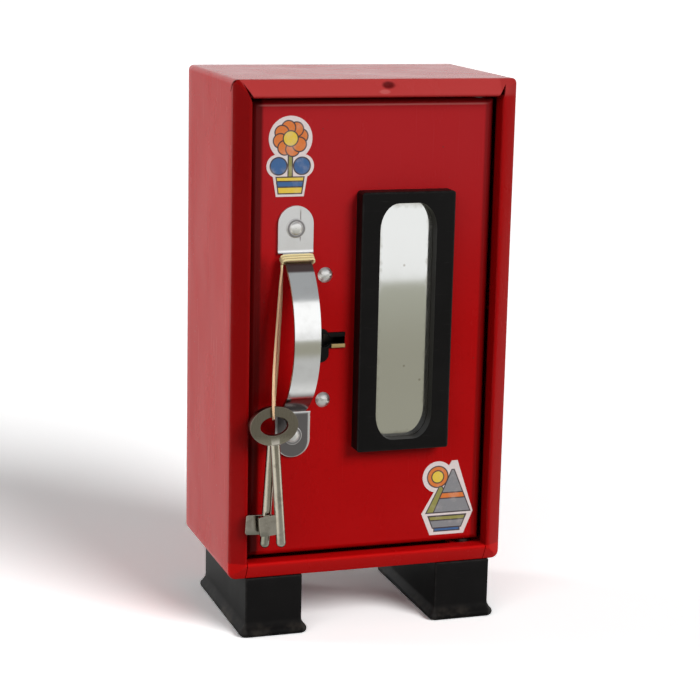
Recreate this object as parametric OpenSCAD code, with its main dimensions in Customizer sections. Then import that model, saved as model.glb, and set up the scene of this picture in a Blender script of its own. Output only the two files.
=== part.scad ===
// Small lockable sheet-steel cabinet on two runner feet, with a hinged inset door,
// a tall narrow mirror window, a bowed strap handle, a lever lock and two hanging keys.
// Millimetres. X runs to the right, Y runs back into the cabinet, Z runs up from the floor.

/* [Cabinet] */
// outside width of the steel box
body_w = 152; // [130:1:180]
// outside height of the steel box without its feet
body_h = 260; // [230:1:300]
// outside depth of the steel box
body_d = 95.4; // [80:0.2:130]
// thickness of the sheet steel
sheet = 1; // [0.8:0.1:1.4]
// outside radius of the folded edges
bend_r = 2.5; // [2:0.1:4]
// width of the flange around the door opening
flange_w = 9.2; // [8:0.1:12]
// fall of the front flange from its inner to its outer edge
flange_fall = 2.4; // [0:0.1:3]
// depth of the lip turned in around the door opening
lip_d = 7.4; // [6.4:0.1:8]
// width of the flange at the back
rear_flange_w = 9; // [8:0.5:12]
// thickness of the back panel
back_t = 1; // [0.8:0.1:1.5]
// width of the slits where the folded flanges meet
slit_w = 0.5; // [0.3:0.1:0.8]

/* [Feet] */
// height of the feet
foot_h = 32; // [26:1:40]
// width of a foot above its rim
foot_w = 31; // [26:0.5:34]
// depth of a foot above its rim
foot_d = 84.5; // [74:0.5:87]
// set-in of a foot from the cabinet's side
foot_in = 7.5; // [4:0.1:12]
// shift of both feet to the right of the cabinet's middle
foot_off = 1.8; // [-3:0.1:3]
// set-back of a foot from the front of the cabinet
foot_set = 2.4; // [0:0.1:4]
// spread of the foot's rim past its sides
rim_out = 3; // [2:0.1:4]
// height over which the foot's rim spreads
rim_h = 8; // [5:0.5:10]

/* [Door] */
// set-back of the door's face behind the front flange
recess = 6.4; // [5.4:0.1:7.4]
// gap around the door
door_gap = 1.2; // [1:0.1:1.8]
// outside radius of the door's folded edges
door_edge_r = 4; // [3:0.1:4.5]
// depth of the door's folded edges
door_return = 10; // [9:0.5:12]
// distance of the hinge axis from the door's right edge
hinge_inset = 7.5; // [7:0.1:9]
// distance of the hinge axis behind the door's face
hinge_set = 5; // [4.8:0.1:5.5]
// diameter of the hinge pins
pin_d = 3; // [2.5:0.1:3.2]

/* [Window] */
// outside width of the window surround
surround_w = 51; // [48:0.5:56]
// outside height of the window surround
surround_h = 137; // [133:1:150]
// height of the surround above the door's face
surround_t = 9.5; // [8.5:0.5:12]
// clear width of the window
window_w = 31; // [30:0.5:33.5]
// clear height of the window
window_h = 125; // [110:1:128]
// width of the window's rounded corners
corner_w = 10; // [6:0.5:12]
// height of the window's rounded corners
corner_h = 14; // [8:0.5:18]
// distance of the window from the middle of the door
window_x = 16.6; // [14:0.2:22]
// rise of the window's middle over the middle of the door
window_rise = 4.5; // [0:0.5:8]
// thickness of the pane
pane_t = 3; // [2:0.5:3]

/* [Handle] */
// distance of the handle from the middle of the door, to the left
handle_off = 41.8; // [41:0.2:45]
// length of the handle over its two tabs
handle_len = 132; // [126:1:138]
// length of a tab
tab_len = 22.5; // [22:0.5:26]
// width of a tab
tab_w = 18.8; // [17:0.2:20]
// width of the bowed strap
strap_w = 13.8; // [12:0.2:15]
// thickness of the strap
strap_t = 1.6; // [1.2:0.1:2]
// reach of the strap in front of the door's face
handle_proj = 26; // [24:0.5:30]
// radius of the bend between tab and strap
root_r = 4; // [3:0.2:5]
// diameter of the rivet heads
rivet_d = 10; // [8:0.5:11]

/* [Lock] */
// distance of the lock's screws and key from the middle of the door, to the left
lock_off = 25.2; // [25:0.1:27]
// drop of the lock's middle below the middle of the door
lock_drop = 3.5; // [0:0.5:5]
// spacing of the two lock screws
lock_span = 66; // [64:1:70]
// diameter of the lock screw heads
screw_head = 8; // [7:0.2:9]
// throw of the bolt
throw = 6.5; // [4:0.5:7]

/* [Keys] */
// length of a key
key_len = 75.5; // [65:0.5:76]
// width of the key's oval bow
bow_w = 25.5; // [24:0.5:30]
// height of the key's oval bow
bow_h = 20.5; // [18:0.5:21]
// width of the hole in the bow
bow_hole_w = 15; // [11:0.5:16]
// height of the hole in the bow
bow_hole_h = 10; // [7.5:0.5:10.5]
// thickness of the bow
bow_t = 2.5; // [2:0.1:2.8]
// diameter of the key's shank
shank_d = 5.2; // [4:0.1:5.3]
// length of the key's bit
bit_len = 8.6; // [7:0.1:9]
// diameter of the cord that holds the keys
cord_d = 1.3; // [1:0.1:1.4]
// lean of each hanging key to its own side
key_lean = 4; // [2:0.1:5]

/* [Part shown] */
// one part's name, or all of them

/* [Hidden] */
$fn = 48;

// named clearances
run_fit = 0.05;
screw_fit = 0.05;
loose_fit = 0.3;
small_gap = 0.15;
past = 1;

// main planes of the cabinet
half_w = body_w / 2;
z0 = foot_h;
z_mid = z0 + body_h / 2;
back_head = 1;
y_front = (handle_proj - recess - body_d - back_head) / 2;
y_back = y_front + body_d;
open_w = body_w - 2 * flange_w;
open_h = body_h - 2 * flange_w;
inner_r = bend_r - sheet;

// door
door_w = open_w - 2 * door_gap;
door_h = open_h - 2 * door_gap;
door_z0 = z_mid - door_h / 2;
door_z1 = z_mid + door_h / 2;
door_corner_r = 2;
y_door = y_front + recess;
y_in = y_door + sheet;
y_door_back = y_door + door_return;

// hinge
hinge_x = door_w / 2 - hinge_inset;
hinge_y = y_door + hinge_set;
bracket_t = 2;
bracket_gap = 2.6;
bracket_leg = 18;
lip_clear = 0.5;
bracket_y0 = y_front + lip_d + lip_clear;
bracket_depth = 11.5;
bracket_y1 = bracket_y0 + bracket_depth;
bracket_over = 7;
bracket_x0 = hinge_x - bracket_over;
bush_d = pin_d + 1.4;
collar_d = pin_d + 4;
bush_in = 4;
pin_in = 7;
pin_head_h = 1.5;
pin_head_d = 6;

// feet
foot_x = half_w - foot_in - foot_w / 2;
foot_y = y_front + foot_set + foot_d / 2;
foot_screw_d = 4;
foot_screw_len = 16;
foot_screw_in = 16.5;
foot_screw_y = foot_d / 2 - foot_screw_in;
foot_head_d = 8;
foot_head_h = 2.4;
foot_hole_end = 0.5;

// back panel rivets
back_rivet_d = 3;
back_tail_d = 4.6;
back_head_d = 5.2;
back_rivet_x = half_w - rear_flange_w / 2 - 0.4;
back_rivet_z = body_h / 2 - rear_flange_w / 2 - 0.4;
back_rivet_in = 22;
back_rivets_at = [for (s = [-1, 1], k = [-1, 0, 1])
  [s * back_rivet_x, k * (back_rivet_z - back_rivet_in)]];
back_rivets_mid = [for (s = [-1, 1]) [0, s * back_rivet_z]];
back_rivet_list = concat(back_rivets_at, back_rivets_mid);

// window
window_z = z_mid + window_rise;
pane_lap = 2.5;
door_cut = 1;
pane_fit = 0.2;
retainer_wall = 5.8;
retainer_t = 3;
retainer_in = 4;
retainer_end = 18.5;
retainer_x = surround_w / 2 - retainer_in;
retainer_z = surround_h / 2 - retainer_end;
retainer_at = [for (s = [-1, 1], k = [-1, 1]) [window_x + s * retainer_x, window_z + k * retainer_z]];
retainer_screw_d = 3;
retainer_head_d = 5.5;
retainer_head_h = 2;
surround_skin = 3;

// handle
handle_x = -handle_off;
handle_z = z_mid;
tab_end = handle_len / 2;
tab_start = tab_end - tab_len;
shoulder = 1.8;
bow_reach = handle_proj - strap_t;
bow_angle = 2 * atan(bow_reach / tab_start);
bow_sum = tab_start / sin(bow_angle);
bow_r = bow_sum - root_r;
bow_u = strap_t / 2 + bow_reach - bow_r;
rivet_in = 11.6;
rivet_z = tab_end - rivet_in;
rivet_h = 2;
rivet_tail_h = 1.2;
rivet_tail_d = 7;
rivet_shank = 4;

// lock
lock_x = -lock_off;
lock_z = z_mid - lock_drop;
key_drop = 1.5;
key_z = lock_z - key_drop;
case_gap = 6.6;
case_x0 = -door_w / 2 + sheet + case_gap;
case_over = 13.2;
case_x1 = lock_x + case_over;
case_end = 5;
case_h = lock_span + 2 * case_end;
case_wall = 1.5;
case_t = 9.5;
cover_t = 1.5;
lock_screw_d = 4;
head_h = 2;
driver_slot = 1;
key_hole_d = shank_d + 1.9;
key_slot_h = 3.4;
key_slot_x = lock_x + shank_d / 2 + bit_len + 0.4;
bolt_in = 3;
bolt_y = y_in + bolt_in;
bolt_t = 4;
bolt_rise = 9;
bolt_z = key_z + bolt_rise;
bolt_head_h = 18;
bolt_tip = -door_w / 2 + loose_fit;
tail_rise = 6.5;
tail_h = 10;
tail_z0 = key_z + tail_rise;
tail_z1 = tail_z0 + tail_h;
tail_back = 10;
tail_front = 25;
tail_lap = 1;
talon_more = 4;
lever_in = 7.8;
lever_x = case_x0 + lever_in;
lever_rise = 27;
lever_z = key_z + lever_rise;
lever_gap = 0.4;
lever_y = bolt_y + bolt_t + lever_gap;
lever_t = 1.2;
lever_eye = 4.5;
lever_past = 6;
lever_len = lock_x + lever_past - lever_x;
lever_h = 17;
stump_d = 3;
leaf_t = 0.6;
leaf_x = lever_len / 3;
leaf_len = 14;
leaf_rise = 4.3;
leaf_drop = lever_eye * (0.7 + 2 / 3) / (lever_len - lever_eye);
leaf_z = lever_eye * 0.7 - (leaf_x - lever_eye) * leaf_drop + small_gap + leaf_t / 4;
stump_off = 14;
stump_x = lock_x - stump_off;
stump_z = (tail_z0 + tail_z1) / 2;
cover_screw_d = 2.5;
cover_hole = 3;
cover_head_h = 1.6;
cover_head_d = 4.7;
tip_fit = 0.3;
boss_len = 7;
boss_wall = 1.8;
rail_len = 8;
cover_in = 4;
cover_at = [for (x = [case_x0 + cover_in, case_x1 - cover_in], k = [-1, 1])
  [x, lock_z + k * (case_h / 2 - cover_in)]];

// keyhole plate in the door
plate_x = lock_x - 1.8;
plate_z = key_z - 2.7;
plate_w = 9;
plate_h = 17.6;
arm_z0 = key_z - 4;
arm_z1 = key_z + 4;
arm_x1 = lock_x + 11.4;
plate_out = 0.6;

// cord and keys
cord_at = [handle_x, y_door, handle_z];
cord_route = [[-8.2, -5, 36], [-8.2, -5, 33.5], [-8.2, -5, 30], [-8.2, -5.1, 21], [-8.6, -5.4, 11],
  [-9.2, -5.9, 1], [-9.8, -6.4, -9], [-10.5, -6.9, -19], [-11.2, -7.4, -27], [-11.7, -7.8, -32],
  [-12, -8, -36],
  [-12.2, -8.1, -39.2], [-12.3, -8.6, -41.4], [-12.7, -9.8, -42.4], [-13.2, -11.2, -42.2],
  [-14, -14, -41.5], [-14.9, -16.8, -40.8], [-15.3, -18.2, -40.4], [-15.7, -19.4, -39.2],
  [-15.9, -19.9, -37.2], [-15.9, -19.9, -34.6], [-15.8, -19.3, -31], [-15.5, -18, -26], [-14.7, -15.9, -17],
  [-13.7, -14, -8], [-12.7, -12.3, 1], [-11.6, -10.7, 11], [-10.5, -9.2, 21], [-9.3, -7.4, 30],
  [-8.8, -7, 33.5], [-8.8, -7, 36]];
front_hang = [-14.9, -16.8, -40.8];
rear_hang = [-13.2, -11.2, -42.2];
front_lean = key_lean * 1.1;
rear_lean = key_lean * 0.8;
hang_gap = 0.6;
bow_z = cord_d / 2 + hang_gap - bow_hole_h / 2;
key_top = bow_z + bow_h / 2;
key_tip = key_top - key_len;
bit_h = 10.5;
bit_t = 2.4;
bit_r = 1.3;
bit_reach = shank_d / 2 + bit_len;
collar_h = 3;
collar_in = 0.6;
tip_len = 7.4;
wind_turns = 2.5;
wind_pitch = cord_d + 0.5;
wind_off = cord_d / 2 + 0.3;
wind_start = 0.4;
wind_slack = 0.6;

// general shapes
module rounded_rect(w, h, r) {
  square([w - 2 * r, h], center = true);
  square([w, h - 2 * r], center = true);
  for (sx = [-1, 1], sy = [-1, 1])
    translate([sx * (w / 2 - r), sy * (h / 2 - r)]) circle(r);
}

module plate_xz(y, t) {
  translate([0, y + t, 0]) rotate([90, 0, 0]) linear_extrude(t) children();
}

module bar_y(x, z, y, len, d) {
  translate([x, y, z]) rotate([-90, 0, 0]) cylinder(h = len, d = d);
}

module end_strip(w, len, r) {
  translate([-w / 2, r]) square([w, len - r]);
  if (r > 0) {
    translate([-w / 2 + r, 0]) square([w - 2 * r, len]);
    for (s = [-1, 1]) translate([s * (w / 2 - r), r]) circle(r);
  }
}

module depth_profile(w, d, rf, rb) {
  end_strip(w, d - rb, rf);
  translate([0, d]) mirror([0, 1]) end_strip(w, d - rf, rb);
}

// block with its front at y 0, with rounded corners and rounded front and back edges
module rounded_block(w, d, h, rc, rf, rb) {
  intersection() {
    translate([0, 0, h / 2]) plate_xz(0, d) rounded_rect(w, h, rc);
    linear_extrude(h) depth_profile(w, d, rf, rb);
    translate([-w / 2, 0, 0]) rotate([90, 0, 90]) linear_extrude(w)
      translate([0, h / 2]) rotate(-90) depth_profile(h, d, rf, rb);
  }
}

// pan-headed screw or rivet along Y, its head's domed side facing the front
module dome_y(x, z, y, d, h) {
  ball = (d * d / 4 + h * h) / (2 * h);
  intersection() {
    translate([x, y - h + ball, z]) sphere(ball, $fn = 32);
    bar_y(x, z, y - h - past, h + past, d);
  }
}

// window outline with tall rounded corners
function corner_pts(cx, cz, sx, sz) = [for (k = [0 : 8])
  let (a = sx * sz > 0 ? k * 90 / 8 : 90 - k * 90 / 8)
  [cx + sx * corner_w * cos(a), cz + sz * corner_h * sin(a)]];

module window_shape(w, h) {
  dx = w / 2 - corner_w;
  dz = h / 2 - corner_h;
  polygon(concat(corner_pts(dx, dz, 1, 1), corner_pts(-dx, dz, -1, 1),
    corner_pts(-dx, -dz, -1, -1), corner_pts(dx, -dz, 1, -1)));
}

module oval(w, h) {
  polygon([for (k = [0 : 39]) [w / 2 * cos(k * 9), h / 2 * sin(k * 9)]]);
}

// tube along a list of points; ref is a direction that the route never runs along
function unit(v) = v / norm(v);
function along(p, i) = unit(p[min(i + 1, len(p) - 1)] - p[max(i - 1, 0)]);
function across(t, ref) = unit(ref - (ref * t) * t);

module tube(p, d, ref, sides) {
  n = len(p);
  pts = [for (i = [0 : n - 1]) let (t = along(p, i), u = across(t, ref), v = cross(t, u))
    for (k = [0 : sides - 1]) p[i] + d / 2 * (u * cos(k * 360 / sides) + v * sin(k * 360 / sides))];
  walls = [for (i = [0 : n - 2]) for (k = [0 : sides - 1]) let (q = (k + 1) % sides)
    [i * sides + k, (i + 1) * sides + k, (i + 1) * sides + q, i * sides + q]];
  first = [for (k = [0 : sides - 1]) k];
  last = [for (k = [0 : sides - 1]) n * sides - 1 - k];
  polyhedron(pts, concat(walls, [first, last]));
}

// the room in front of the sloped flange, which is flat for one sheet's width around the opening
module slope_side(half, y) {
  s0 = half - flange_w + sheet;
  rate = flange_fall / (flange_w - sheet);
  polygon([[s0, y], [s0, y - past], [half + past, y - past], [half + past, y + rate * (half + past - s0)]]);
}

module flange_slope(y) {
  translate([0, 0, z0 - past]) linear_extrude(body_h + 2 * past)
    for (m = [0, 1]) mirror([m, 0]) slope_side(half_w, y);
  translate([-half_w - past, 0, z_mid]) rotate([0, 90, 0]) linear_extrude(body_w + 2 * past)
    for (m = [0, 1]) mirror([m, 0]) slope_side(body_h / 2, y);
}

// cabinet: four folded panels with front and back flanges, joined at mitred corners
module folded_box() difference() {
  union() {
    difference() {
      translate([0, y_front, z0]) rounded_block(body_w, body_d, body_h, bend_r, 0, bend_r);
      flange_slope(y_front);
      difference() {
        translate([0, y_front + sheet, z0 + sheet])
          rounded_block(body_w - 2 * sheet, body_d - 2 * sheet, body_h - 2 * sheet, inner_r, 0, inner_r);
        flange_slope(y_front + sheet);
      }
    }
    translate([0, 0, z_mid]) plate_xz(y_front, lip_d)
      square([open_w + 2 * sheet, open_h + 2 * sheet], center = true);
  }
  translate([0, 0, z_mid]) plate_xz(y_front - past, lip_d + 2 * past)
    square([open_w, open_h], center = true);
  translate([0, 0, z_mid]) plate_xz(y_back - sheet - past, sheet + 2 * past)
    square([body_w - 2 * rear_flange_w, body_h - 2 * rear_flange_w], center = true);
  for (s = [-1, 1]) {
    translate([s * open_w / 2, y_front - past, z_mid + open_h / 2]) rotate([0, s * 20, 0])
      translate([-slit_w / 2, 0, -2 * sheet]) cube([slit_w, lip_d + 2 * past, flange_w]);
    translate([s * (open_w / 2 + sheet) - slit_w / 2, y_front - past, z0 + bend_r])
      cube([slit_w, lip_d + 2 * past, flange_w - bend_r + 2 * sheet]);
    for (k = [-1, 1])
      translate([foot_off + s * foot_x, foot_y + k * foot_screw_y, z0 - past])
        cylinder(h = sheet + 2 * past, d = foot_screw_d + 2 * screw_fit);
  }
  for (p = back_rivet_list)
    bar_y(p[0], z_mid + p[1], y_back - sheet - past, sheet + 2 * past, back_rivet_d + 2 * screw_fit);
}

seam = 0.04;
mitre_d = flange_w + 4;

// the part of the folded box between two mitres; w is the side that it closes, h is the other
module mitred(w, h) {
  polygon([[-w / 2 + mitre_d + seam, h / 2 - mitre_d], [w / 2 - mitre_d - seam, h / 2 - mitre_d],
    [w / 2 + past - seam, h / 2 + past], [-w / 2 - past + seam, h / 2 + past]]);
}

module box_panel(turn) {
  w = turn % 180 == 0 ? body_w : body_h;
  h = turn % 180 == 0 ? body_h : body_w;
  intersection() {
    folded_box();
    translate([0, 0, z_mid]) plate_xz(y_front - past, body_d + 2 * past) rotate(turn) mitred(w, h);
  }
}

module top_panel() color("#9e1b1f") box_panel(0);

module left_side() color("#9e1b1f") box_panel(90);

module bottom_panel() color("#9e1b1f") box_panel(180);

module right_side() color("#9e1b1f") box_panel(270);

module back_panel() color("#8f181c") difference() {
  translate([0, 0, z_mid]) plate_xz(y_back - sheet - back_t, back_t)
    rounded_rect(body_w - 2 * bend_r - 0.6, body_h - 2 * bend_r - 0.6, 1);
  for (p = back_rivet_list)
    bar_y(p[0], z_mid + p[1], y_back - sheet - back_t - past, back_t + 2 * past,
      back_rivet_d + 2 * screw_fit);
}

module back_rivets() color("#a3262a") for (p = back_rivet_list) {
  bar_y(p[0], z_mid + p[1], y_back - sheet - back_t - back_head, back_head, back_tail_d);
  bar_y(p[0], z_mid + p[1], y_back - sheet - back_t - back_head / 2, sheet + back_t + back_head,
    back_rivet_d);
  bar_y(p[0], z_mid + p[1], y_back, back_head, back_head_d);
}

// feet: full-depth runners with a spread rim; the rim is a hollow flare over a rounded lip
lip_r = rim_h * 0.28;
lip_top = 40;
flare_out = rim_out - lip_r * (1 - cos(lip_top));
flare_h = rim_h - lip_r * (1 + sin(lip_top));
function foot_side(w) = concat(
  [for (a = [-90 : 26 : lip_top]) [w / 2 + rim_out - lip_r + lip_r * cos(a), lip_r + lip_r * sin(a)]],
  [for (k = [5 : -1 : 0]) [w / 2 + flare_out * pow(k / 5, 1.8), rim_h - flare_h * k / 5]],
  [[w / 2, foot_h]]);

module foot_profile(w) {
  right = foot_side(w);
  polygon(concat(right, [for (k = [len(right) - 1 : -1 : 0]) [-right[k][0], right[k][1]]]));
}

module foot_solid() difference() {
  intersection() {
    plate_xz(-foot_d, 2 * foot_d) foot_profile(foot_w);
    translate([-foot_w, 0, 0]) rotate([90, 0, 90]) linear_extrude(2 * foot_w) foot_profile(foot_d);
    linear_extrude(foot_h) rounded_rect(foot_w + 2 * rim_out, foot_d + 2 * rim_out, rim_out + 1);
  }
  for (k = [-1, 1])
    translate([0, k * foot_screw_y, foot_h - foot_screw_len - foot_hole_end])
      cylinder(h = foot_screw_len + past, d = foot_screw_d + 2 * screw_fit);
}

module left_foot() color("#1c1a1a") translate([foot_off - foot_x, foot_y, 0]) foot_solid();

module right_foot() color("#1c1a1a") translate([foot_off + foot_x, foot_y, 0]) foot_solid();

module foot_screws() color("#b8b8b4") for (s = [-1, 1], k = [-1, 1])
  translate([foot_off + s * foot_x, foot_y + k * foot_screw_y, z0]) {
    translate([0, 0, sheet]) cylinder(h = foot_head_h, d = foot_head_d);
    translate([0, 0, -foot_screw_len])
      cylinder(h = foot_screw_len + sheet + foot_head_h / 2, d = foot_screw_d);
  }

// hinge: two brackets on the right wall, two pins, and bushes in the door
module hinge_bracket() difference() {
  union() {
    translate([bracket_x0, bracket_y0, 0])
      cube([half_w - sheet - bracket_x0, bracket_y1 - bracket_y0, bracket_t]);
    translate([half_w - sheet - bracket_t, bracket_y0, 0])
      cube([bracket_t, bracket_y1 - bracket_y0, bracket_leg]);
  }
  translate([hinge_x, hinge_y, -past]) cylinder(h = bracket_t + 2 * past, d = pin_d + 2 * run_fit);
}

module lower_hinge_bracket() color("#84171a")
  translate([0, 0, door_z0 - bracket_gap - bracket_t]) hinge_bracket();

module upper_hinge_bracket() color("#84171a")
  translate([0, 0, door_z1 + bracket_gap + bracket_t]) mirror([0, 0, 1]) hinge_bracket();

module hinge_pin() {
  translate([hinge_x, hinge_y, -bracket_gap - bracket_t - pin_head_h])
    cylinder(h = pin_head_h, d = pin_head_d);
  translate([hinge_x, hinge_y, -bracket_gap - bracket_t - pin_head_h / 2])
    cylinder(h = bracket_gap + bracket_t + pin_head_h / 2 + pin_in, d = pin_d);
}

module hinge_pins() color("#c4c4c0") {
  translate([0, 0, door_z0]) hinge_pin();
  translate([0, 0, door_z1]) mirror([0, 0, 1]) hinge_pin();
}

module hinge_bush() translate([hinge_x, hinge_y, 0]) difference() {
  union() {
    translate([0, 0, -bracket_gap + loose_fit]) cylinder(h = bracket_gap - loose_fit, d = collar_d);
    translate([0, 0, -0.5]) cylinder(h = 0.5 + sheet + bush_in, d = bush_d);
  }
  translate([0, 0, -bracket_gap - past]) cylinder(h = bracket_gap + sheet + bush_in + 2 * past,
    d = pin_d + 2 * run_fit);
}

module hinge_bushes() color("#b08d57") {
  translate([0, 0, door_z0]) hinge_bush();
  translate([0, 0, door_z1]) mirror([0, 0, 1]) hinge_bush();
}

// keeper that the bolt runs behind, and the stops that the closed door meets
module bolt_keeper() color("#84171a") {
  translate([-half_w + sheet, y_front + lip_d, bolt_z - bolt_head_h])
    cube([keep_t, keep_d, 2 * bolt_head_h]);
  translate([-half_w + sheet, y_front + lip_d, bolt_z - bolt_head_h])
    cube([flange_w - 2 * sheet, keep_t, 2 * bolt_head_h]);
}

keep_t = 1.5;
keep_d = 17;
stop_off = 50;
stop_h = 16;
stop_d = 9.5;
stop_z = [-body_h / 2 + stop_off + flange_w, body_h / 2 - stop_off - flange_w];
stop_gap = 0.3;
buffer_len = 2.7;
buffer_d = 6;
buffer_stem = 3;
buffer_in = 2;
stop_y = y_door_back + stop_gap + buffer_len;
buffer_x = -door_w / 2 + buffer_in;

module door_stops() color("#84171a") for (k = stop_z) translate([0, 0, z_mid + k]) difference() {
  union() {
    translate([-half_w + sheet, stop_y + keep_t - stop_d, -stop_h / 2]) cube([keep_t, stop_d, stop_h]);
    translate([-half_w + sheet, stop_y, -stop_h / 2])
      cube([buffer_x + buffer_d + half_w - sheet, keep_t, stop_h]);
  }
  bar_y(buffer_x, 0, stop_y - past, keep_t + 2 * past, buffer_stem + 2 * screw_fit);
}

module stop_buffers() color("#222222") for (k = stop_z) translate([0, 0, z_mid + k]) {
  bar_y(buffer_x, 0, stop_y - buffer_len, buffer_len, buffer_d);
  bar_y(buffer_x, 0, stop_y - buffer_len / 2, buffer_len / 2 + 2 * keep_t, buffer_stem);
}

// door: folded pan with all its cut-outs
module keyhole_outline(grow) {
  translate([plate_x, plate_z])
    rounded_rect(plate_w + 2 * grow, plate_h + 2 * grow, plate_w / 2 + grow - 0.2);
  translate([plate_x, arm_z0 - grow]) square([arm_x1 - plate_x + grow, arm_z1 - arm_z0 + 2 * grow]);
}

module door_panel() color("#a01518") difference() {
  translate([0, y_door, door_z0])
    rounded_block(door_w, door_return, door_h, door_corner_r, door_edge_r, 0);
  translate([0, y_in, door_z0 + sheet])
    rounded_block(door_w - 2 * sheet, door_return + past, door_h - 2 * sheet,
      door_corner_r - sheet, door_edge_r - sheet, 0);
  translate([window_x, 0, window_z]) plate_xz(y_door - past, sheet + 2 * past)
    rounded_rect(window_w + 2 * door_cut, window_h + 2 * door_cut, 3);
  plate_xz(y_door - past, sheet + 2 * past) keyhole_outline(small_gap);
  for (p = retainer_at)
    bar_y(p[0], p[1], y_door - past, sheet + 2 * past, retainer_screw_d + 2 * screw_fit);
  for (s = [-1, 1]) {
    bar_y(lock_x, lock_z + s * lock_span / 2, y_door - past, sheet + 2 * past,
      lock_screw_d + 2 * screw_fit);
    bar_y(handle_x, handle_z + s * rivet_z, y_door - past, sheet + 2 * past,
      rivet_shank + 2 * screw_fit);
  }
  translate([hinge_x, hinge_y, door_z0 - past])
    cylinder(h = door_h + 2 * past, d = bush_d + 2 * screw_fit);
  translate([-door_w / 2 - past, bolt_y - loose_fit, bolt_z - bolt_head_h / 2 - loose_fit])
    cube([sheet + 2 * past, bolt_t + 2 * loose_fit, bolt_head_h + 2 * loose_fit]);
}

// window: surround in front with the pane in a rebate, retainer behind the door
pane_w = window_w + 2 * pane_lap;
pane_h = window_h + 2 * pane_lap;

module window_surround() color("#181717") difference() {
  translate([window_x, y_door - surround_t, window_z - surround_h / 2])
    rounded_block(surround_w, surround_t, surround_h, 2, 1.2, 0);
  translate([window_x, 0, window_z]) plate_xz(y_door - surround_t - past, surround_t + 2 * past)
    window_shape(window_w, window_h);
  translate([window_x, 0, window_z]) plate_xz(y_door - pane_t - small_gap, pane_t + small_gap + past)
    rounded_rect(pane_w + 2 * pane_fit, pane_h + 2 * pane_fit, 1);
  for (p = retainer_at)
    bar_y(p[0], p[1], y_door - surround_t + surround_skin, surround_t, retainer_screw_d + 2 * screw_fit);
}

module window_pane() color("#cfd2d2") translate([window_x, 0, window_z])
  plate_xz(y_door - pane_t, pane_t) rounded_rect(pane_w, pane_h, 1);

module pane_retainer() color("#2a2a2a") difference() {
  translate([window_x, 0, window_z]) plate_xz(y_in, retainer_t)
    rounded_rect(pane_w + 2 * retainer_wall, pane_h + 2 * retainer_wall, 2);
  translate([window_x, 0, window_z]) plate_xz(y_in - past, retainer_t + 2 * past)
    rounded_rect(window_w, window_h, 2);
  for (p = retainer_at)
    bar_y(p[0], p[1], y_in - past, retainer_t + 2 * past, retainer_screw_d + 2 * screw_fit);
}

module retainer_screws() color("#9a9a96") for (p = retainer_at) {
  bar_y(p[0], p[1], y_in + retainer_t, retainer_head_h, retainer_head_d);
  bar_y(p[0], p[1], y_door - surround_t + surround_skin + past,
    surround_t + sheet + retainer_t - surround_skin, retainer_screw_d);
}

// handle: bowed strap with two riveted tabs; u runs out from the door, v runs up
bow_steps = 40;
root_steps = 8;
root_u = strap_t / 2 + root_r;
function bow_line(t) = [for (k = [-bow_steps / 2 : bow_steps / 2])
  let (a = 2 * k * bow_angle / bow_steps)
  [bow_u + (bow_r + t) * cos(a), (bow_r + t) * sin(a)]];
function root_line(t) = [for (k = [1 : root_steps]) let (a = bow_angle * (1 - k / root_steps))
  [root_u - (root_r - t) * cos(a), tab_start - (root_r - t) * sin(a)]];
function upper_line(t) = concat(root_line(t), [[strap_t / 2 + t, tab_end]]);
function low(p) = [for (k = [len(p) - 1 : -1 : 0]) [p[k][0], -p[k][1]]];
function strap_line(t) = concat(low(upper_line(t)), bow_line(t), upper_line(t));
function back_list(p) = [for (k = [len(p) - 1 : -1 : 0]) p[k]];

module strap_profile() {
  polygon(concat(strap_line(strap_t / 2), back_list(strap_line(-strap_t / 2))));
}

module strap_front() {
  square([strap_w, 2 * tab_start + 1], center = true);
  for (s = [0, 1]) mirror([0, s]) {
    translate([-tab_w / 2, tab_start - shoulder]) square([tab_w, tab_len + shoulder - tab_w / 2]);
    translate([0, tab_end - tab_w / 2]) circle(tab_w / 2);
  }
}

module door_handle() color("#c9cac8") difference() {
  intersection() {
    translate([handle_x - tab_w / 2, y_door, handle_z]) rotate([90, 0, 90])
      linear_extrude(tab_w) mirror([1, 0]) strap_profile();
    translate([handle_x, 0, handle_z]) plate_xz(y_door - handle_proj - past, handle_proj + 2 * past)
      strap_front();
  }
  for (s = [-1, 1])
    bar_y(handle_x, handle_z + s * rivet_z, y_door - strap_t - past, strap_t + 2 * past,
      rivet_shank + 2 * screw_fit);
}

module handle_rivets() color("#d2d2ce") for (s = [-1, 1]) {
  dome_y(handle_x, handle_z + s * rivet_z, y_door - strap_t, rivet_d, rivet_h);
  bar_y(handle_x, handle_z + s * rivet_z, y_door - strap_t - rivet_h / 4,
    strap_t + sheet + rivet_h / 4 + rivet_tail_h / 2, rivet_shank);
  bar_y(handle_x, handle_z + s * rivet_z, y_in, rivet_tail_h, rivet_tail_d);
}

// lock: case and cover behind the door, bolt, lever and its spring
module lock_tray(grow, t) {
  translate([(case_x0 + case_x1) / 2, 0, lock_z]) plate_xz(y_in + t, case_t - t + (t > 0 ? past : 0))
    rounded_rect(case_x1 - case_x0 - 2 * grow, case_h - 2 * grow, 1.5);
}

module key_shape() {
  circle(d = key_hole_d);
  translate([0, -key_slot_h / 2]) square([key_slot_x - lock_x, key_slot_h]);
}

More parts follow.
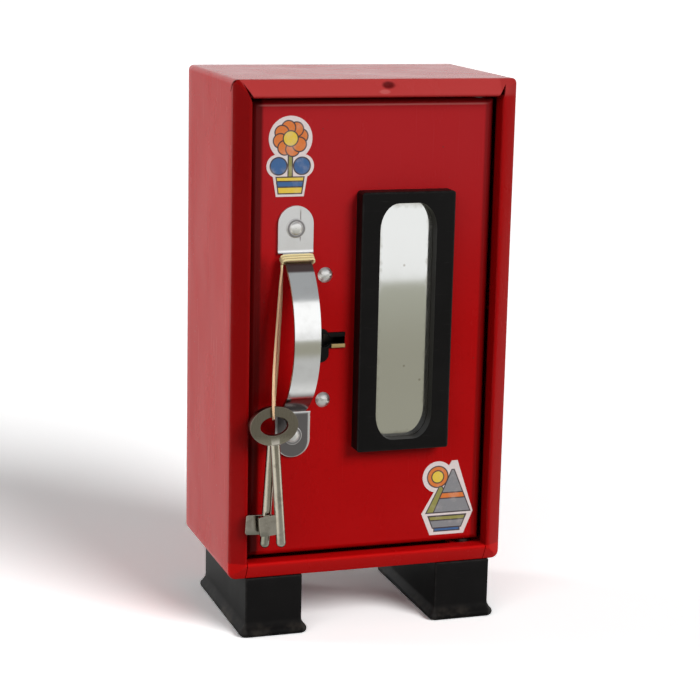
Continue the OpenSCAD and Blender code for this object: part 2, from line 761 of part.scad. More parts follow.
module lock_case() color("#3a3836") difference() {
  union() {
    difference() {
      lock_tray(0, 0);
      lock_tray(case_wall, case_wall);
    }
    for (s = [-1, 1])
      bar_y(lock_x, lock_z + s * lock_span / 2, y_in, boss_len, lock_screw_d + 2 * boss_wall);
    for (p = cover_at) bar_y(p[0], p[1], y_in, case_t, cover_screw_d + 2 * boss_wall);
    bar_y(lever_x, lever_z, y_in, case_t - loose_fit, stump_d);
    bar_y(stump_x, stump_z, y_in, bolt_in + bolt_t + small_gap, stump_d);
    translate([case_x0 + case_wall / 2, y_in, bolt_z - bolt_head_h / 2])
      cube([rail_len, bolt_in - small_gap, bolt_head_h]);
  }
  translate([lock_x, 0, key_z]) plate_xz(y_in - past, case_wall + 2 * past) key_shape();
  translate([case_x0 - past, bolt_y - small_gap, bolt_z - bolt_head_h / 2 - small_gap])
    cube([case_wall + 2 * past, bolt_t + 2 * small_gap, bolt_head_h + 2 * small_gap]);
  for (s = [-1, 1])
    bar_y(lock_x, lock_z + s * lock_span / 2, y_in - past, boss_len + 2 * past,
      lock_screw_d + 2 * screw_fit);
  for (p = cover_at)
    bar_y(p[0], p[1], y_in + cover_hole, case_t, cover_screw_d + 2 * screw_fit);
}

module lock_cover() color("#44423f") difference() {
  translate([(case_x0 + case_x1) / 2, 0, lock_z]) plate_xz(y_in + case_t, cover_t)
    rounded_rect(case_x1 - case_x0, case_h, 1.5);
  bar_y(lock_x, key_z, y_in + case_t - past, cover_t + 2 * past, shank_d + 2 * tip_fit);
  for (p = cover_at) bar_y(p[0], p[1], y_in + case_t - past, cover_t + 2 * past,
    cover_screw_d + 2 * screw_fit);
}

module cover_screws() color("#9a9a96") for (p = cover_at) {
  bar_y(p[0], p[1], y_in + case_t + cover_t, cover_head_h, cover_head_d);
  bar_y(p[0], p[1], y_in + cover_hole + past, case_t + cover_t - cover_hole - past / 2, cover_screw_d);
}

module lock_screws() color("#d2d2ce") for (s = [-1, 1]) difference() {
  union() {
    dome_y(lock_x, lock_z + s * lock_span / 2, y_door, screw_head, head_h);
    bar_y(lock_x, lock_z + s * lock_span / 2, y_door - head_h / 4, sheet + boss_len - past,
      lock_screw_d);
  }
  translate([lock_x, y_door - head_h, lock_z + s * lock_span / 2]) rotate([0, 35, 0])
    cube([screw_head + past, head_h, driver_slot], center = true);
}

module keyhole_plate() color("#141312") difference() {
  plate_xz(y_door - plate_out, sheet + plate_out) keyhole_outline(0);
  translate([lock_x, 0, key_z]) plate_xz(y_door - plate_out - past, sheet + plate_out + 2 * past)
    key_shape();
}

strip_in = 0.1;
strip_t = 0.8;
strip_z1 = key_z - key_slot_h / 2 - strip_in;
strip_x0 = lock_x + key_hole_d / 2 + loose_fit;

module keyhole_strip() color("#a08a5c")
  translate([strip_x0, y_door - plate_out - strip_t, arm_z0 + strip_in])
    cube([arm_x1 - strip_in - strip_x0, strip_t, strip_z1 - arm_z0 - strip_in]);

module lock_bolt() color("#b7a071") difference() {
  union() {
    translate([bolt_tip, bolt_y, bolt_z - bolt_head_h / 2])
      cube([lock_x - tail_front + tail_lap - bolt_tip, bolt_t, bolt_head_h]);
    translate([lock_x - tail_front, bolt_y, tail_z0]) cube([tail_front + tail_back, bolt_t, tail_h]);
  }
  bar_y(lock_x - throw / 2, tail_z0 - past, bolt_y - past, bolt_t + 2 * past, throw + talon_more);
  for (dx = [0, throw])
    bar_y(stump_x + dx, stump_z, bolt_y - past, bolt_t + 2 * past, stump_d + 2 * loose_fit);
  translate([stump_x, bolt_y - past, stump_z - stump_d / 2 - loose_fit])
    cube([throw, bolt_t + 2 * past, stump_d + 2 * loose_fit]);
}

module lock_lever() color("#b08d57") difference() {
  plate_xz(lever_y, lever_t) translate([lever_x, lever_z]) {
    circle(lever_eye);
    polygon([[lever_eye / 4, -lever_eye * 2 / 3], [lever_len * 0.4, -lever_h / 2],
      [lever_len * 0.5, -lever_h * 0.95], [lever_len * 0.7, -lever_h], [lever_len, -lever_h * 0.8],
      [lever_len, -lever_eye * 2 / 3], [lever_eye, lever_eye * 0.7], [-lever_eye / 4, lever_eye * 2 / 3]]);
  }
  bar_y(lever_x, lever_z, lever_y - past, lever_t + 2 * past, stump_d + 2 * run_fit);
}

module lever_spring() color("#8c8c88") plate_xz(lever_y, lever_t) translate([lever_x, lever_z])
  polygon([[leaf_x, leaf_z], [leaf_x + leaf_t, leaf_z], [leaf_x + leaf_len / 2, leaf_z + leaf_rise * 0.7],
    [leaf_x + leaf_len, leaf_z + leaf_rise], [leaf_x + leaf_len, leaf_z + leaf_rise + leaf_t],
    [leaf_x + leaf_len / 2, leaf_z + leaf_rise * 0.7 + leaf_t], [leaf_x, leaf_z + 2 * leaf_t]]);

// printed stickers on the door, outline only, drawn for a height of one
sticker_t = 0.2;
lower_sticker_h = 41;
lower_sticker_w = lower_sticker_h * 0.72;
upper_sticker_in = 8.1;
sticker_gap = 4.5;
upper_sticker_h = door_h / 2 - tab_end - upper_sticker_in - sticker_gap;
lower_sticker_in = door_edge_r + 2 * sticker_t;
upper_sticker = [handle_x - tab_w / 6, door_z1 - upper_sticker_in - upper_sticker_h / 2];
lower_sticker = [door_w / 2 - lower_sticker_in - lower_sticker_w / 2,
  door_z0 + lower_sticker_in + lower_sticker_h / 2];

module flower_sticker() {
  translate([0, 0.22]) circle(0.28);
  for (s = [-1, 1]) translate([s * 0.16, -0.12]) circle(0.146);
  translate([-0.12, -0.25]) square([0.24, 0.35]);
  polygon([[-0.18, -0.5], [0.18, -0.5], [0.23, -0.2], [-0.23, -0.2]]);
}

module boat_sticker() {
  translate([-0.146, 0.29]) circle(0.21);
  polygon([[-0.236, -0.5], [0.236, -0.5], [0.36, -0.2], [0.124, 0.5], [0.045, 0.5], [-0.36, -0.2]]);
}

module door_stickers() color("#ead9d4") plate_xz(y_door - sticker_t, sticker_t) {
  translate(upper_sticker) scale(upper_sticker_h) flower_sticker();
  translate(lower_sticker) scale(lower_sticker_h) boat_sticker();
}

// cord wound round the upper end of the strap; its frame lies on the strap
wind_at = [handle_x, y_door - strap_t / 2 - root_r * (1 - cos(bow_angle)),
  handle_z + tab_start - root_r * sin(bow_angle)];
wind_t = [0, -sin(bow_angle), -cos(bow_angle)];
wind_n = [0, -cos(bow_angle), sin(bow_angle)];
wind_a = strap_w / 2 + wind_off + wind_slack;
wind_b = strap_t / 2 + wind_off;
wind_steps = 24;

function soft(c) = sign(c) * pow(abs(c), 0.35);
function wind_pt(k) = let (a = k * 360 / wind_steps)
  wind_at + [wind_a * soft(cos(a)), 0, 0] + wind_b * soft(sin(a)) * wind_n
  + (wind_start + wind_pitch * k / wind_steps) * wind_t;

wind_pts = [for (k = [0 : wind_steps * wind_turns]) wind_pt(k)];
wind_near = [for (i = [0 : len(wind_pts) - 1]) for (j = [i + wind_steps / 2 : len(wind_pts) - 1])
  norm(wind_pts[i] - wind_pts[j]) - cord_d];
echo(winding_least_gap = min(wind_near));

module cord_winding() color("#c9a47c") tube(wind_pts, cord_d, wind_t, 6);

module key_cord() color("#c9a47c") tube([for (p = cord_route) cord_at + p], cord_d, [1, 0, 0], 8);

// key: oval bow, collar, round shank, flat bit; the cord's centre passes its origin
module key_solid() {
  translate([0, 0, bow_z]) plate_xz(-bow_t / 2, bow_t) difference() {
    oval(bow_w, bow_h);
    oval(bow_hole_w, bow_hole_h);
  }
  translate([0, 0, bow_z - bow_h / 2 - collar_h]) cylinder(h = collar_h + collar_in, d = shank_d);
  translate([0, 0, key_tip + shank_d / 2]) cylinder(h = key_len - bow_h - shank_d / 2, d = shank_d);
  translate([0, 0, key_tip + shank_d / 2]) sphere(d = shank_d, $fn = 24);
  translate([-bit_reach / 2, 0, key_tip + tip_len + bit_h / 2]) plate_xz(-bit_t / 2, bit_t)
    rounded_rect(bit_reach, bit_h, bit_r);
}

module front_key() color("#6d675b")
  translate(cord_at + front_hang) rotate([0, -front_lean, 0]) key_solid();

module rear_key() color("#625d53")
  translate(cord_at + rear_hang) rotate([0, rear_lean, 0]) key_solid();

left_side();
right_side();
top_panel();
bottom_panel();
back_panel();
back_rivets();
left_foot();
right_foot();
foot_screws();
upper_hinge_bracket();
lower_hinge_bracket();
hinge_pins();
bolt_keeper();
door_stops();
stop_buffers();
door_panel();
hinge_bushes();
window_surround();
window_pane();
pane_retainer();
retainer_screws();
door_handle();
handle_rivets();
lock_case();
lock_cover();
cover_screws();
lock_screws();
keyhole_plate();
keyhole_strip();
door_stickers();
lock_bolt();
lock_lever();
lever_spring();
cord_winding();
key_cord();
front_key();
rear_key();
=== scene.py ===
"""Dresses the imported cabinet: camera, twine, sheet-steel shell, fittings, finishes and stage."""

import logging
import math
from dataclasses import dataclass, field
from enum import Enum
from itertools import product
from typing import Any, Callable, Iterable, Optional, Sequence, Tuple, Union

import bmesh
import bpy
import numpy as np
from mathutils import Matrix, Vector


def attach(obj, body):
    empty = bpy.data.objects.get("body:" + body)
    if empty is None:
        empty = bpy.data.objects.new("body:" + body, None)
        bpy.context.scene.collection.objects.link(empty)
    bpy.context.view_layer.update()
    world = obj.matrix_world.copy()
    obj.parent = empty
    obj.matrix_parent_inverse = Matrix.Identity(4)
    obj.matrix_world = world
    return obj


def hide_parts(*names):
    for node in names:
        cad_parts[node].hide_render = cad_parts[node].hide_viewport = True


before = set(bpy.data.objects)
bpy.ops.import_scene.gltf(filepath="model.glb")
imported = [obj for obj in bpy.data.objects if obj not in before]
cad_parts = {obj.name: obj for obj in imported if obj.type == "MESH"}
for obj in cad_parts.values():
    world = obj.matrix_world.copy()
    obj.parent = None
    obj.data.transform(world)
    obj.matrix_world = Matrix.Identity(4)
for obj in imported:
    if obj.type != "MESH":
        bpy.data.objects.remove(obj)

LOG = logging.getLogger("cabinet")
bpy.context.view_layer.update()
MM = 0.001

# Places that several pieces share, in millimetres
BODY_MIDDLE = 162.0
BODY_BACK = 57.0
HANDLE_X = -41.8
DOOR_FACE = -32.0
RIVET_RISE = 54.4
WINDOW_X, WINDOW_Z = 16.6, 166.5
LOCK_Z = 158.5
FOOT_Y = 6.25
LEFT_FOOT_X, RIGHT_FOOT_X = -51.2, 54.8
RIGHT_ANGLE = math.pi / 2

Colour = Tuple[float, float, float]
Point = Tuple[float, float, float]
Pair = Tuple[float, float]
Piece = bpy.types.Object
Material = bpy.types.Material
Node = bpy.types.Node
Socket = bpy.types.NodeSocket


class Body(Enum):
    """The bodies that carry pieces made here."""

    CABINET = "cabinet"
    DOOR = "door"
    LOOP = "hanging_cord"
    FRONT_KEY = "key_in_front"
    REAR_KEY = "key_behind"


class Slot(Enum):
    """The record's material slots that pieces made here use."""

    RED = "red_paint"
    PLASTIC = "black_plastic"
    ENAMEL = "black_enamel"
    GLASS = "silvered_glass"
    BRIGHT = "bright_plate"
    ZINC = "zinc_steel"
    DARK = "dark_steel"
    BRASS = "brass"
    KEY = "key_steel"
    CORD = "cord"


class Drive(Enum):
    """The cuts in a screw's head, by their angles in degrees."""

    SLOT = (0,)
    CROSS = (0, 90)


class Panel(Enum):
    """The sheet that an enamel covers."""

    SHELL = "shell"
    DOOR = "door"
    FITTING = "fitting"


class Lay(Enum):
    """The way that a metal's fine lines run, as factors along the axes."""

    UP = (2.5, 2.5, 0.05)
    ACROSS = (0.05, 2.5, 2.5)
    NONE = (1.2, 1.2, 1.2)


def operator(operation: str, swapped: bool = False) -> Callable[["Val", "Term"], "Val"]:
    """Makes a method of Val that adds a Math node.

    Args:
        operation: the node's operation.
        swapped: whether the other term comes first.

    Returns:
        The method.
    """
    def method(value: "Val", other: "Term") -> "Val":
        """Adds the node."""
        return value.nodes.math(operation, *((other, value) if swapped else (value, other)))

    return method


class Val:
    """A number or colour on a socket, with the arithmetic that the finishes use."""

    __add__ = __radd__ = operator("ADD")
    __sub__ = operator("SUBTRACT")
    __rsub__ = operator("SUBTRACT", swapped=True)
    __mul__ = operator("MULTIPLY")
    __truediv__ = operator("DIVIDE")
    __pow__ = operator("POWER")
    least = operator("MINIMUM")
    most = operator("MAXIMUM")

    def __init__(self, nodes: "Nodes", socket: Socket) -> None:
        """Keeps the socket and the tree that it belongs to."""
        self.nodes = nodes
        self.socket = socket

    def __abs__(self) -> "Val":
        """Drops the sign."""
        return self.nodes.math("ABSOLUTE", self)

    def step(self, low: float, high: float) -> "Val":
        """Rises smoothly from 0 to 1 between two values.

        Args:
            low: the value where the rise starts.
            high: the value where it ends; below low, the step falls instead.

        Returns:
            The share, from 0 to 1.
        """
        ends = {"From Min": min(low, high), "From Max": max(low, high)}
        ends["To Min"], ends["To Max"] = (1.0, 0.0) if high < low else (0.0, 1.0)
        return self.nodes.val("ShaderNodeMapRange", {"Value": self, **ends},
                              interpolation_type="SMOOTHSTEP")


Term = Union[Val, Socket, float, int]
Tint = Union[Val, Node, Colour]
Layer = Tuple[Term, Tint]


class Nodes:
    """A node tree that starts empty, with short ways to add nodes."""

    def __init__(self, tree: bpy.types.NodeTree) -> None:
        """Keeps the tree and empties it."""
        self.tree = tree
        tree.nodes.clear()

    def node(self, kind: str, inputs: Optional[dict] = None, **settings: Any) -> Node:
        """Adds a node.

        Args:
            kind: the node's type.
            inputs: values, or what is linked, for its sockets by name or number.
            settings: its properties, set first.

        Returns:
            The new node.
        """
        node = self.tree.nodes.new(kind)
        for key, value in settings.items():
            setattr(node, key, value)
        for key, value in (inputs or {}).items():
            socket = node.inputs[key]
            if isinstance(value, Val):
                value = value.socket
            elif isinstance(value, Node):
                value = value.outputs[0]
            if isinstance(value, Socket):
                self.tree.links.new(value, socket)
            elif socket.type == "RGBA":
                socket.default_value = (*value, 1.0)
            else:
                socket.default_value = value
        return node

    def val(self, kind: str, inputs: dict, output: Union[int, str] = 0, **settings: Any) -> Val:
        """Adds a node and takes one of its outputs."""
        return Val(self, self.node(kind, inputs, **settings).outputs[output])

    def math(self, operation: str, *terms: Term) -> Val:
        """Adds a Math node for one or two terms."""
        return self.val("ShaderNodeMath", dict(enumerate(terms)), operation=operation)

    def mix(self, share: Term, under: Tint, over: Tint) -> Val:
        """Lays a share of one colour over another."""
        return self.val("ShaderNodeMix", {0: share, 6: under, 7: over}, 2, data_type="RGBA")


class Shade(Nodes):
    """One procedural material's tree, with coordinates in millimetres of the part's frame."""

    def __init__(self, name: str) -> None:
        """Makes an empty material and the coordinates.

        Args:
            name: the material's name.
        """
        self.material = bpy.data.materials.new(name)
        self.material.use_nodes = True
        super().__init__(self.material.node_tree)
        place = self.node("ShaderNodeTexCoord").outputs["Object"]
        self.point = self.val("ShaderNodeVectorMath", {0: place, "Scale": 1 / MM},
                              operation="SCALE")
        parts = self.node("ShaderNodeSeparateXYZ", {0: self.point}).outputs
        self.x, self.y, self.z = (Val(self, part) for part in parts)

    def layered(self, colour: Tint, *layers: Layer) -> Tint:
        """Lays colours over one another.

        Args:
            colour: the lowest colour.
            layers: the share and the colour of each layer above it.

        Returns:
            The colour that shows.
        """
        for share, tint in layers:
            colour = self.mix(share, colour, tint)
        return colour

    def stretched(self, scale: Point) -> Val:
        """Coordinates in millimetres, times a factor along each axis."""
        return self.val("ShaderNodeMapping", {"Vector": self.point, "Scale": scale})

    def noise(self, scale: float, detail: float, place: Optional[Val] = None) -> Val:
        """Soft noise from 0 to 1, with a number of waves in a millimetre and of octaves."""
        return self.val("ShaderNodeTexNoise", {"Vector": place or self.point, "Scale": scale,
                                               "Detail": detail, "Roughness": 0.55})

    def cells(self, scale: float) -> Val:
        """Distance to scattered points, of which a number lie in a millimetre."""
        return self.val("ShaderNodeTexVoronoi", {"Vector": self.point, "Scale": scale}, "Distance")

    def edge(self, middle: Point, half: Point) -> Val:
        """Distance in millimetres from the edges of a box of half sizes, on its faces."""
        a, b, c = (h - abs(v - m) for v, m, h in zip((self.x, self.y, self.z), middle, half))
        return a.least(b).most(a.most(b).least(c))

    def oval(self, x: float, z: float, wide: float, high: float) -> Val:
        """Squared distance from an oval's middle on the front, 1 on the oval of half sizes."""
        across, up = (self.x - x) / wide, (self.z - z) / high
        return across * across + up * up

    def round(self, x: float, z: float, radius: float) -> Val:
        """Signed distance in millimetres from a circle on the front, below 0 inside."""
        across, up = self.x - x, self.z - z
        return (across * across + up * up) ** 0.5 - radius

    def slab(self, x: float, z: float, width: float, height: float, lean: float = 0.0) -> Val:
        """Signed distance from a box of half sizes on the front, its sides leaning out upwards."""
        up = self.z - z
        return (abs(self.x - x) - (up * lean + width)).most(abs(up) - height)

    def bump(self, height: Val) -> Val:
        """A normal from heights in millimetres."""
        return self.val("ShaderNodeBump", {"Distance": MM, "Height": height})

    def close(self, **inputs: Any) -> Material:
        """Ends the tree in a Principled shader.

        Args:
            inputs: the shader's sockets, with _ for a space.

        Returns:
            The material.
        """
        named = {key.replace("_", " "): value for key, value in inputs.items()}
        self.node("ShaderNodeOutputMaterial", {0: self.node("ShaderNodeBsdfPrincipled", named)})
        return self.material


@dataclass(frozen=True)
class RedEnamel:
    """Semi-gloss red enamel on folded sheet steel, rubbed along its folds, with painted light and
    shade on the wrap's flanges and on the door.
    """

    name: str
    middle: Point
    half: Point
    panel: Panel = Panel.FITTING
    wear: float = 1.0
    red: Colour = (0.42, 0.0026, 0.0034)
    faded: Colour = (0.46, 0.0060, 0.0075)
    deep: Colour = (0.31, 0.0018, 0.0022)
    rubbed: Colour = (0.5, 0.075, 0.07)
    primer: Colour = (0.052, 0.03, 0.027)
    # Painted light and shade on the front flanges: top and bottom lighter, left and right darker.
    lit_top_flange: Colour = (0.50, 0.058, 0.056)
    shaded_left_flange: Colour = (0.17, 0.0008, 0.001)
    shaded_right_flange: Colour = (0.24, 0.0008, 0.001)
    lit_bottom_flange: Colour = (0.60, 0.0045, 0.004)
    # Painted shade in the dent and a painted highlight on its lip.
    dent: Colour = (0.10, 0.002, 0.003)
    dent_lip_highlight: Colour = (0.62, 0.16, 0.15)
    # Painted light: the door's upper half lighter.
    lit_upper_door: Colour = (0.43, 0.017, 0.021)
    # Painted shade along the door's side margins.
    edge_shade: Colour = (0.04, 0.002, 0.002)
    # Painted shadow of the strap on the door left of the handle.
    strap_shadow: Colour = (0.11, 0.0015, 0.002)
    # Painted highlight along the door's top fold.
    fold_highlight: Colour = (0.62, 0.2, 0.18)
    ior: float = 1.18

    def make(self) -> Material:
        """Makes the material.

        Returns:
            The material.
        """
        s = Shade(self.name)
        edge = s.edge(self.middle, self.half)
        rubbed = (edge + s.noise(0.22, 4.0) * 1.8).step(2.6, 0.6) * self.wear
        chipped = (edge + s.noise(0.9, 4.0) * 2.6).step(1.25, 0.95) * self.wear
        specks = s.cells(0.16).step(0.07, 0.045) * s.noise(0.03, 2.0).step(0.5, 0.62)
        bare = chipped.most(specks * 0.8)
        # The wrap's and the door's painted light and shade, laid under the chips.
        light_and_shade = {Panel.SHELL: self._shell_light_and_shade, Panel.DOOR: self._door_light_and_shade}
        colour = s.layered(self.red, (s.noise(0.018, 4.0).step(0.35, 0.75) * 0.55, self.faded),
                           (s.noise(0.35, 5.0).step(0.52, 0.75) * 0.3, self.deep),
                           (rubbed * 0.35, self.rubbed),
                           *(light_and_shade[self.panel](s) if self.panel in light_and_shade else []),
                           (bare, self.primer))
        hair = s.noise(0.5, 2.0, s.stretched((2.2, 2.2, 0.035))).step(0.67, 0.74)
        smear = s.noise(0.05, 5.0, s.stretched((1.0, 1.0, 0.45)))
        rough = 0.20 + smear * 0.12 + bare * 0.25 + hair * 0.06
        peel = s.noise(0.75, 2.0) * 0.010 + s.noise(0.02, 2.0) * 0.75
        height = peel - bare * 0.05 - hair * 0.002
        return s.close(Base_Color=colour, Roughness=rough, IOR=self.ior, Normal=s.bump(height))

    def _shell_light_and_shade(self, s: Shade) -> list:
        """Painted light and shade on the wrap: lighter top and bottom flanges, darker left and
        right flanges, and painted shade in the dent over the door with a painted highlight on its
        lip.

        Args:
            s: the shader being made.

        Returns:
            The layers.
        """
        front = s.y.step(-31.0, -34.0)
        above = (s.x + s.z * 0.66 - 119.8).step(-0.4, 0.4)
        # Masks of the front flanges that get painted light and shade.
        top = front * above * s.z.step(282.2, 284.6) * s.x.step(80.0, 70.0)
        left = front * (1.0 - above) * s.x.step(-65.6, -67.0)
        # The dent darkened with painted shade, and a painted highlight on its lip.
        dent = front * s.oval(5.1, 288.9, 3.6, 1.9).step(1.5, 0.2)
        dent_lip_highlight = front * s.oval(2.6, 285.7, 3.0, 1.1).step(1.4, 0.4)
        return [(top * 0.75, self.lit_top_flange),
                (left * (s.z.step(60.0, 160.0) * 0.28 + 0.38), self.shaded_left_flange),
                (front * s.x.step(65.6, 67.0) * 0.3, self.shaded_right_flange),
                (front * s.z.step(41.6, 40.6) * 0.8, self.lit_bottom_flange),
                (dent * 0.92, self.dent), (dent_lip_highlight * 0.5, self.dent_lip_highlight)]

    def _door_light_and_shade(self, s: Shade) -> list:
        """Painted light and shade on the door: a lighter upper half, painted shade along its side
        margins and in the strap's shadow left of the handle, and a painted highlight along the top
        fold.

        Args:
            s: the shader being made.

        Returns:
            The layers.
        """
        # Painted shade along the door's left and right margins.
        edge_shade = s.x.step(-58.8, -60.6) * 0.8 + s.x.step(59.6, 61.4) * 0.5
        # Painted shadow of the strap, left of the handle.
        strap_shadow_share = s.x.step(-53.5, -58.5) * s.z.step(110.0, 128.0) * s.z.step(206.0, 194.0)
        # Painted highlight along the door's top fold.
        line = abs(s.z - 278.7).step(0.7, 0.2) * abs(s.x).step(63.0, 58.0)
        # Painted light on the door's upper half.
        return [(s.z.step(165.0, 268.0) * 0.9, self.lit_upper_door), (edge_shade, self.edge_shade),
                (strap_shadow_share * 0.6, self.strap_shadow), (line * 0.6, self.fold_highlight)]


@dataclass(frozen=True)
class Moulding:
    """Moulded black plastic with a fine grain, greyed along its edges and dusty low down."""

    name: str
    middle: Point
    half: Point
    rough: float = 0.42
    dust: float = 0.0
    base: Colour = (0.0035, 0.0032, 0.0032)
    paler: float = 1.9
    scuff: Colour = (0.03, 0.028, 0.027)
    dirt: Colour = (0.14, 0.12, 0.10)
    ior: float = 1.2

    def make(self) -> Material:
        """Makes the material.

        Returns:
            The material.
        """
        s = Shade(self.name)
        cloud = s.noise(0.06, 4.0)
        worn = (s.edge(self.middle, self.half) + s.noise(0.3, 4.0) * 2.0).step(2.2, 0.7)
        lines = s.noise(0.7, 2.0, s.stretched((0.12, 0.12, 3.0))).step(0.66, 0.76)
        low = s.z.step(9.0, 1.5) * s.noise(0.14, 5.0).step(0.4, 0.68)
        colour = s.layered(self.base, (cloud.step(0.35, 0.8) * 0.6,
                                       tuple(c * self.paler for c in self.base)),
                           (worn * 0.55, self.scuff), (lines * 0.35, self.scuff),
                           (low * self.dust, self.dirt))
        rough = self.rough + cloud * 0.14 - worn * 0.08
        height = s.noise(3.5, 3.0) * 0.012 - lines * 0.01
        return s.close(Base_Color=colour, Roughness=rough, IOR=self.ior, Normal=s.bump(height))


@dataclass(frozen=True)
class Metal:
    """Bare or plated metal with fine lines, blotches, tarnish and painted shadow rings round its
    domes.
    """

    name: str
    base: Colour
    tarnish: Colour
    rough: float
    stain: float = 0.5
    lay: Lay = Lay.UP
    grain: float = 0.002
    pit_depth: float = 0.55
    # Domes that get a painted shadow ring, the ring's radius and its colour.
    shadow_ringed: Sequence[Pair] = ()
    shadow_ring_radius: float = 4.1
    ring: Colour = (0.12, 0.11, 0.12)

    def make(self) -> Material:
        """Makes the material.

        Returns:
            The material.
        """
        s = Shade(self.name)
        lines = s.noise(1.6, 2.0, s.stretched(self.lay.value))
        spots = s.cells(0.45).step(0.16, 0.08) * s.noise(0.09, 2.0).step(0.5, 0.65)
        dull = s.noise(0.13, 5.0).step(0.45, 0.72) * self.stain
        # Painted shadow round each dome.
        rings = [(abs(s.round(x, z, self.shadow_ring_radius)).step(0.8, 0.3) * 0.8, self.ring)
                 for x, z in self.shadow_ringed]
        pits = tuple(c * self.pit_depth for c in self.tarnish)
        colour = s.layered(self.base, (dull, self.tarnish), (spots * self.stain, pits), *rings)
        rough = self.rough + lines * 0.07 + dull * 0.14 + spots * 0.15
        height = lines * self.grain + s.noise(0.9, 2.0) * self.grain - spots * 0.006
        return s.close(Base_Color=colour, Roughness=rough, Metallic=1.0, Normal=s.bump(height))


@dataclass(frozen=True)
class StrapPlating:
    """Bright plating on the strap handle, dull on its tabs, with painted shade on the lower one and
    painted dark reflections at the strap's ends.
    """

    name: str
    shoulder: float = 42.7
    reach: float = 67.0
    half: float = 9.4
    scratch: float = HANDLE_X + 2.4
    bright: Colour = (0.80, 0.805, 0.80)
    dull: Colour = (0.66, 0.66, 0.665)
    blotched: Colour = (0.58, 0.575, 0.56)
    # Painted shade on the lower tab, below the keys.
    tarnish: Colour = (0.105, 0.095, 0.10)
    # Painted dark reflections at the strap's ends; also the scratch's colour.
    shade: Colour = (0.085, 0.040, 0.036)

    def make(self) -> Material:
        """Makes the material.

        Returns:
            The material.
        """
        s = Shade(self.name)
        lines = s.noise(1.6, 2.0, s.stretched(Lay.UP.value))
        blotch = s.noise(0.13, 5.0).step(0.45, 0.75)
        tab = abs(s.z - BODY_MIDDLE).step(self.shoulder - 0.6, self.shoulder + 0.6)
        # Painted shade on the lower tab, all but its rim.
        lower = BODY_MIDDLE - self.shoulder
        low = s.z.step(lower + 0.8, lower - 0.8)
        turn = BODY_MIDDLE - self.reach + self.half
        around = s.round(HANDLE_X, turn, self.half).least(turn - s.z)
        rim = (abs(s.x - HANDLE_X) - self.half).most(around).step(-1.5, -0.8)
        # Painted dark reflections in bands at the strap's upper and lower ends.
        root = s.z.step(195.0, 196.2) * s.z.step(200.5, 199.5)
        root = root.most(s.z.step(120.0, 121.0) * s.z.step(130.8, 129.8) * 0.85)
        scratch = (abs(s.x - self.scratch).step(0.42, 0.15) * s.z.step(209.0, 211.0)
                   * s.z.step(227.0, 224.0))
        colour = s.layered(self.bright, (tab * 0.85, self.dull), (blotch * 0.25, self.blotched),
                           (low * (1.0 - rim) * 0.9, self.tarnish),
                           (root.most(scratch * 0.7) * 0.92, self.shade))
        rough = 0.11 + lines * 0.07 + blotch * 0.06 + tab * 0.2
        height = lines * 0.002 - scratch * 0.05
        return s.close(Base_Color=colour, Roughness=rough, Metallic=1.0, Normal=s.bump(height))


@dataclass(frozen=True)
class KeySteel:
    """Dark key steel, blackest on the bows and rubbed bright down the shanks."""

    name: str
    rubbed: Colour = (0.39, 0.365, 0.31)
    black: Colour = (0.20, 0.18, 0.145)
    bit: Colour = (0.165, 0.175, 0.14)
    pitted: Colour = (0.09, 0.065, 0.045)
    bow: Pair = (108.0, 113.0)

    def make(self) -> Material:
        """Makes the material.

        Returns:
            The material.
        """
        s = Shade(self.name)
        lines = s.noise(1.4, 2.0, s.stretched(Lay.UP.value))
        dark = s.z.step(*self.bow).most(s.noise(0.16, 5.0).step(0.5, 0.72) * 0.5)
        bit = s.z.step(63.0, 58.0) * s.x.step(-57.0, -59.5)
        pits = s.cells(0.6).step(0.14, 0.07) * s.noise(0.12, 2.0).step(0.48, 0.62)
        colour = s.layered(self.rubbed, (dark, self.black), (bit * 0.75, self.bit),
                           (pits * 0.6, self.pitted))
        rough = 0.17 + lines * 0.06 + dark * 0.08 + pits * 0.2
        height = lines * 0.003 - pits * 0.01
        return s.close(Base_Color=colour, Roughness=rough, Metallic=1.0, Normal=s.bump(height))


@dataclass(frozen=True)
class MirrorGlass:
    """Silvered glass, aged along its rim, with painted backing."""

    name: str
    middle: Point
    half: Point
    silver: Colour = (0.79, 0.80, 0.79)
    clouded: Colour = (0.73, 0.74, 0.72)
    aged: Colour = (0.36, 0.33, 0.27)
    paint: Colour = (0.17, 0.15, 0.13)
    pale_paint: Colour = (0.24, 0.21, 0.18)

    def make(self) -> Material:
        """Makes the material.

        Returns:
            The material.
        """
        s = Shade(self.name)
        across = self.half[0] - abs(s.x - self.middle[0])
        up = self.half[2] - abs(s.z - self.middle[2])
        rim = (across.least(up) + s.noise(0.25, 5.0) * 5.0).step(6.5, 2.5)
        cloud = s.noise(0.05, 4.0)
        foxing = s.cells(0.11).step(0.10, 0.05) * s.noise(0.04, 2.0).step(0.5, 0.62)
        rear = self.middle[1] + self.half[1]
        back = s.y.step(rear - 0.4, rear - 0.1)
        backing = s.mix(s.noise(0.3, 5.0).step(0.4, 0.7), self.paint, self.pale_paint)
        colour = s.layered(self.silver, (cloud * 0.5, self.clouded),
                           ((rim * 0.6).most(foxing * 0.5), self.aged), (back, backing))
        rough = 0.03 + cloud * 0.04 + rim * 0.15 + back * 0.45
        return s.close(Base_Color=colour, Roughness=rough, Metallic=1.0 - back,
                       Normal=s.bump(s.noise(0.012, 2.0) * 0.08))


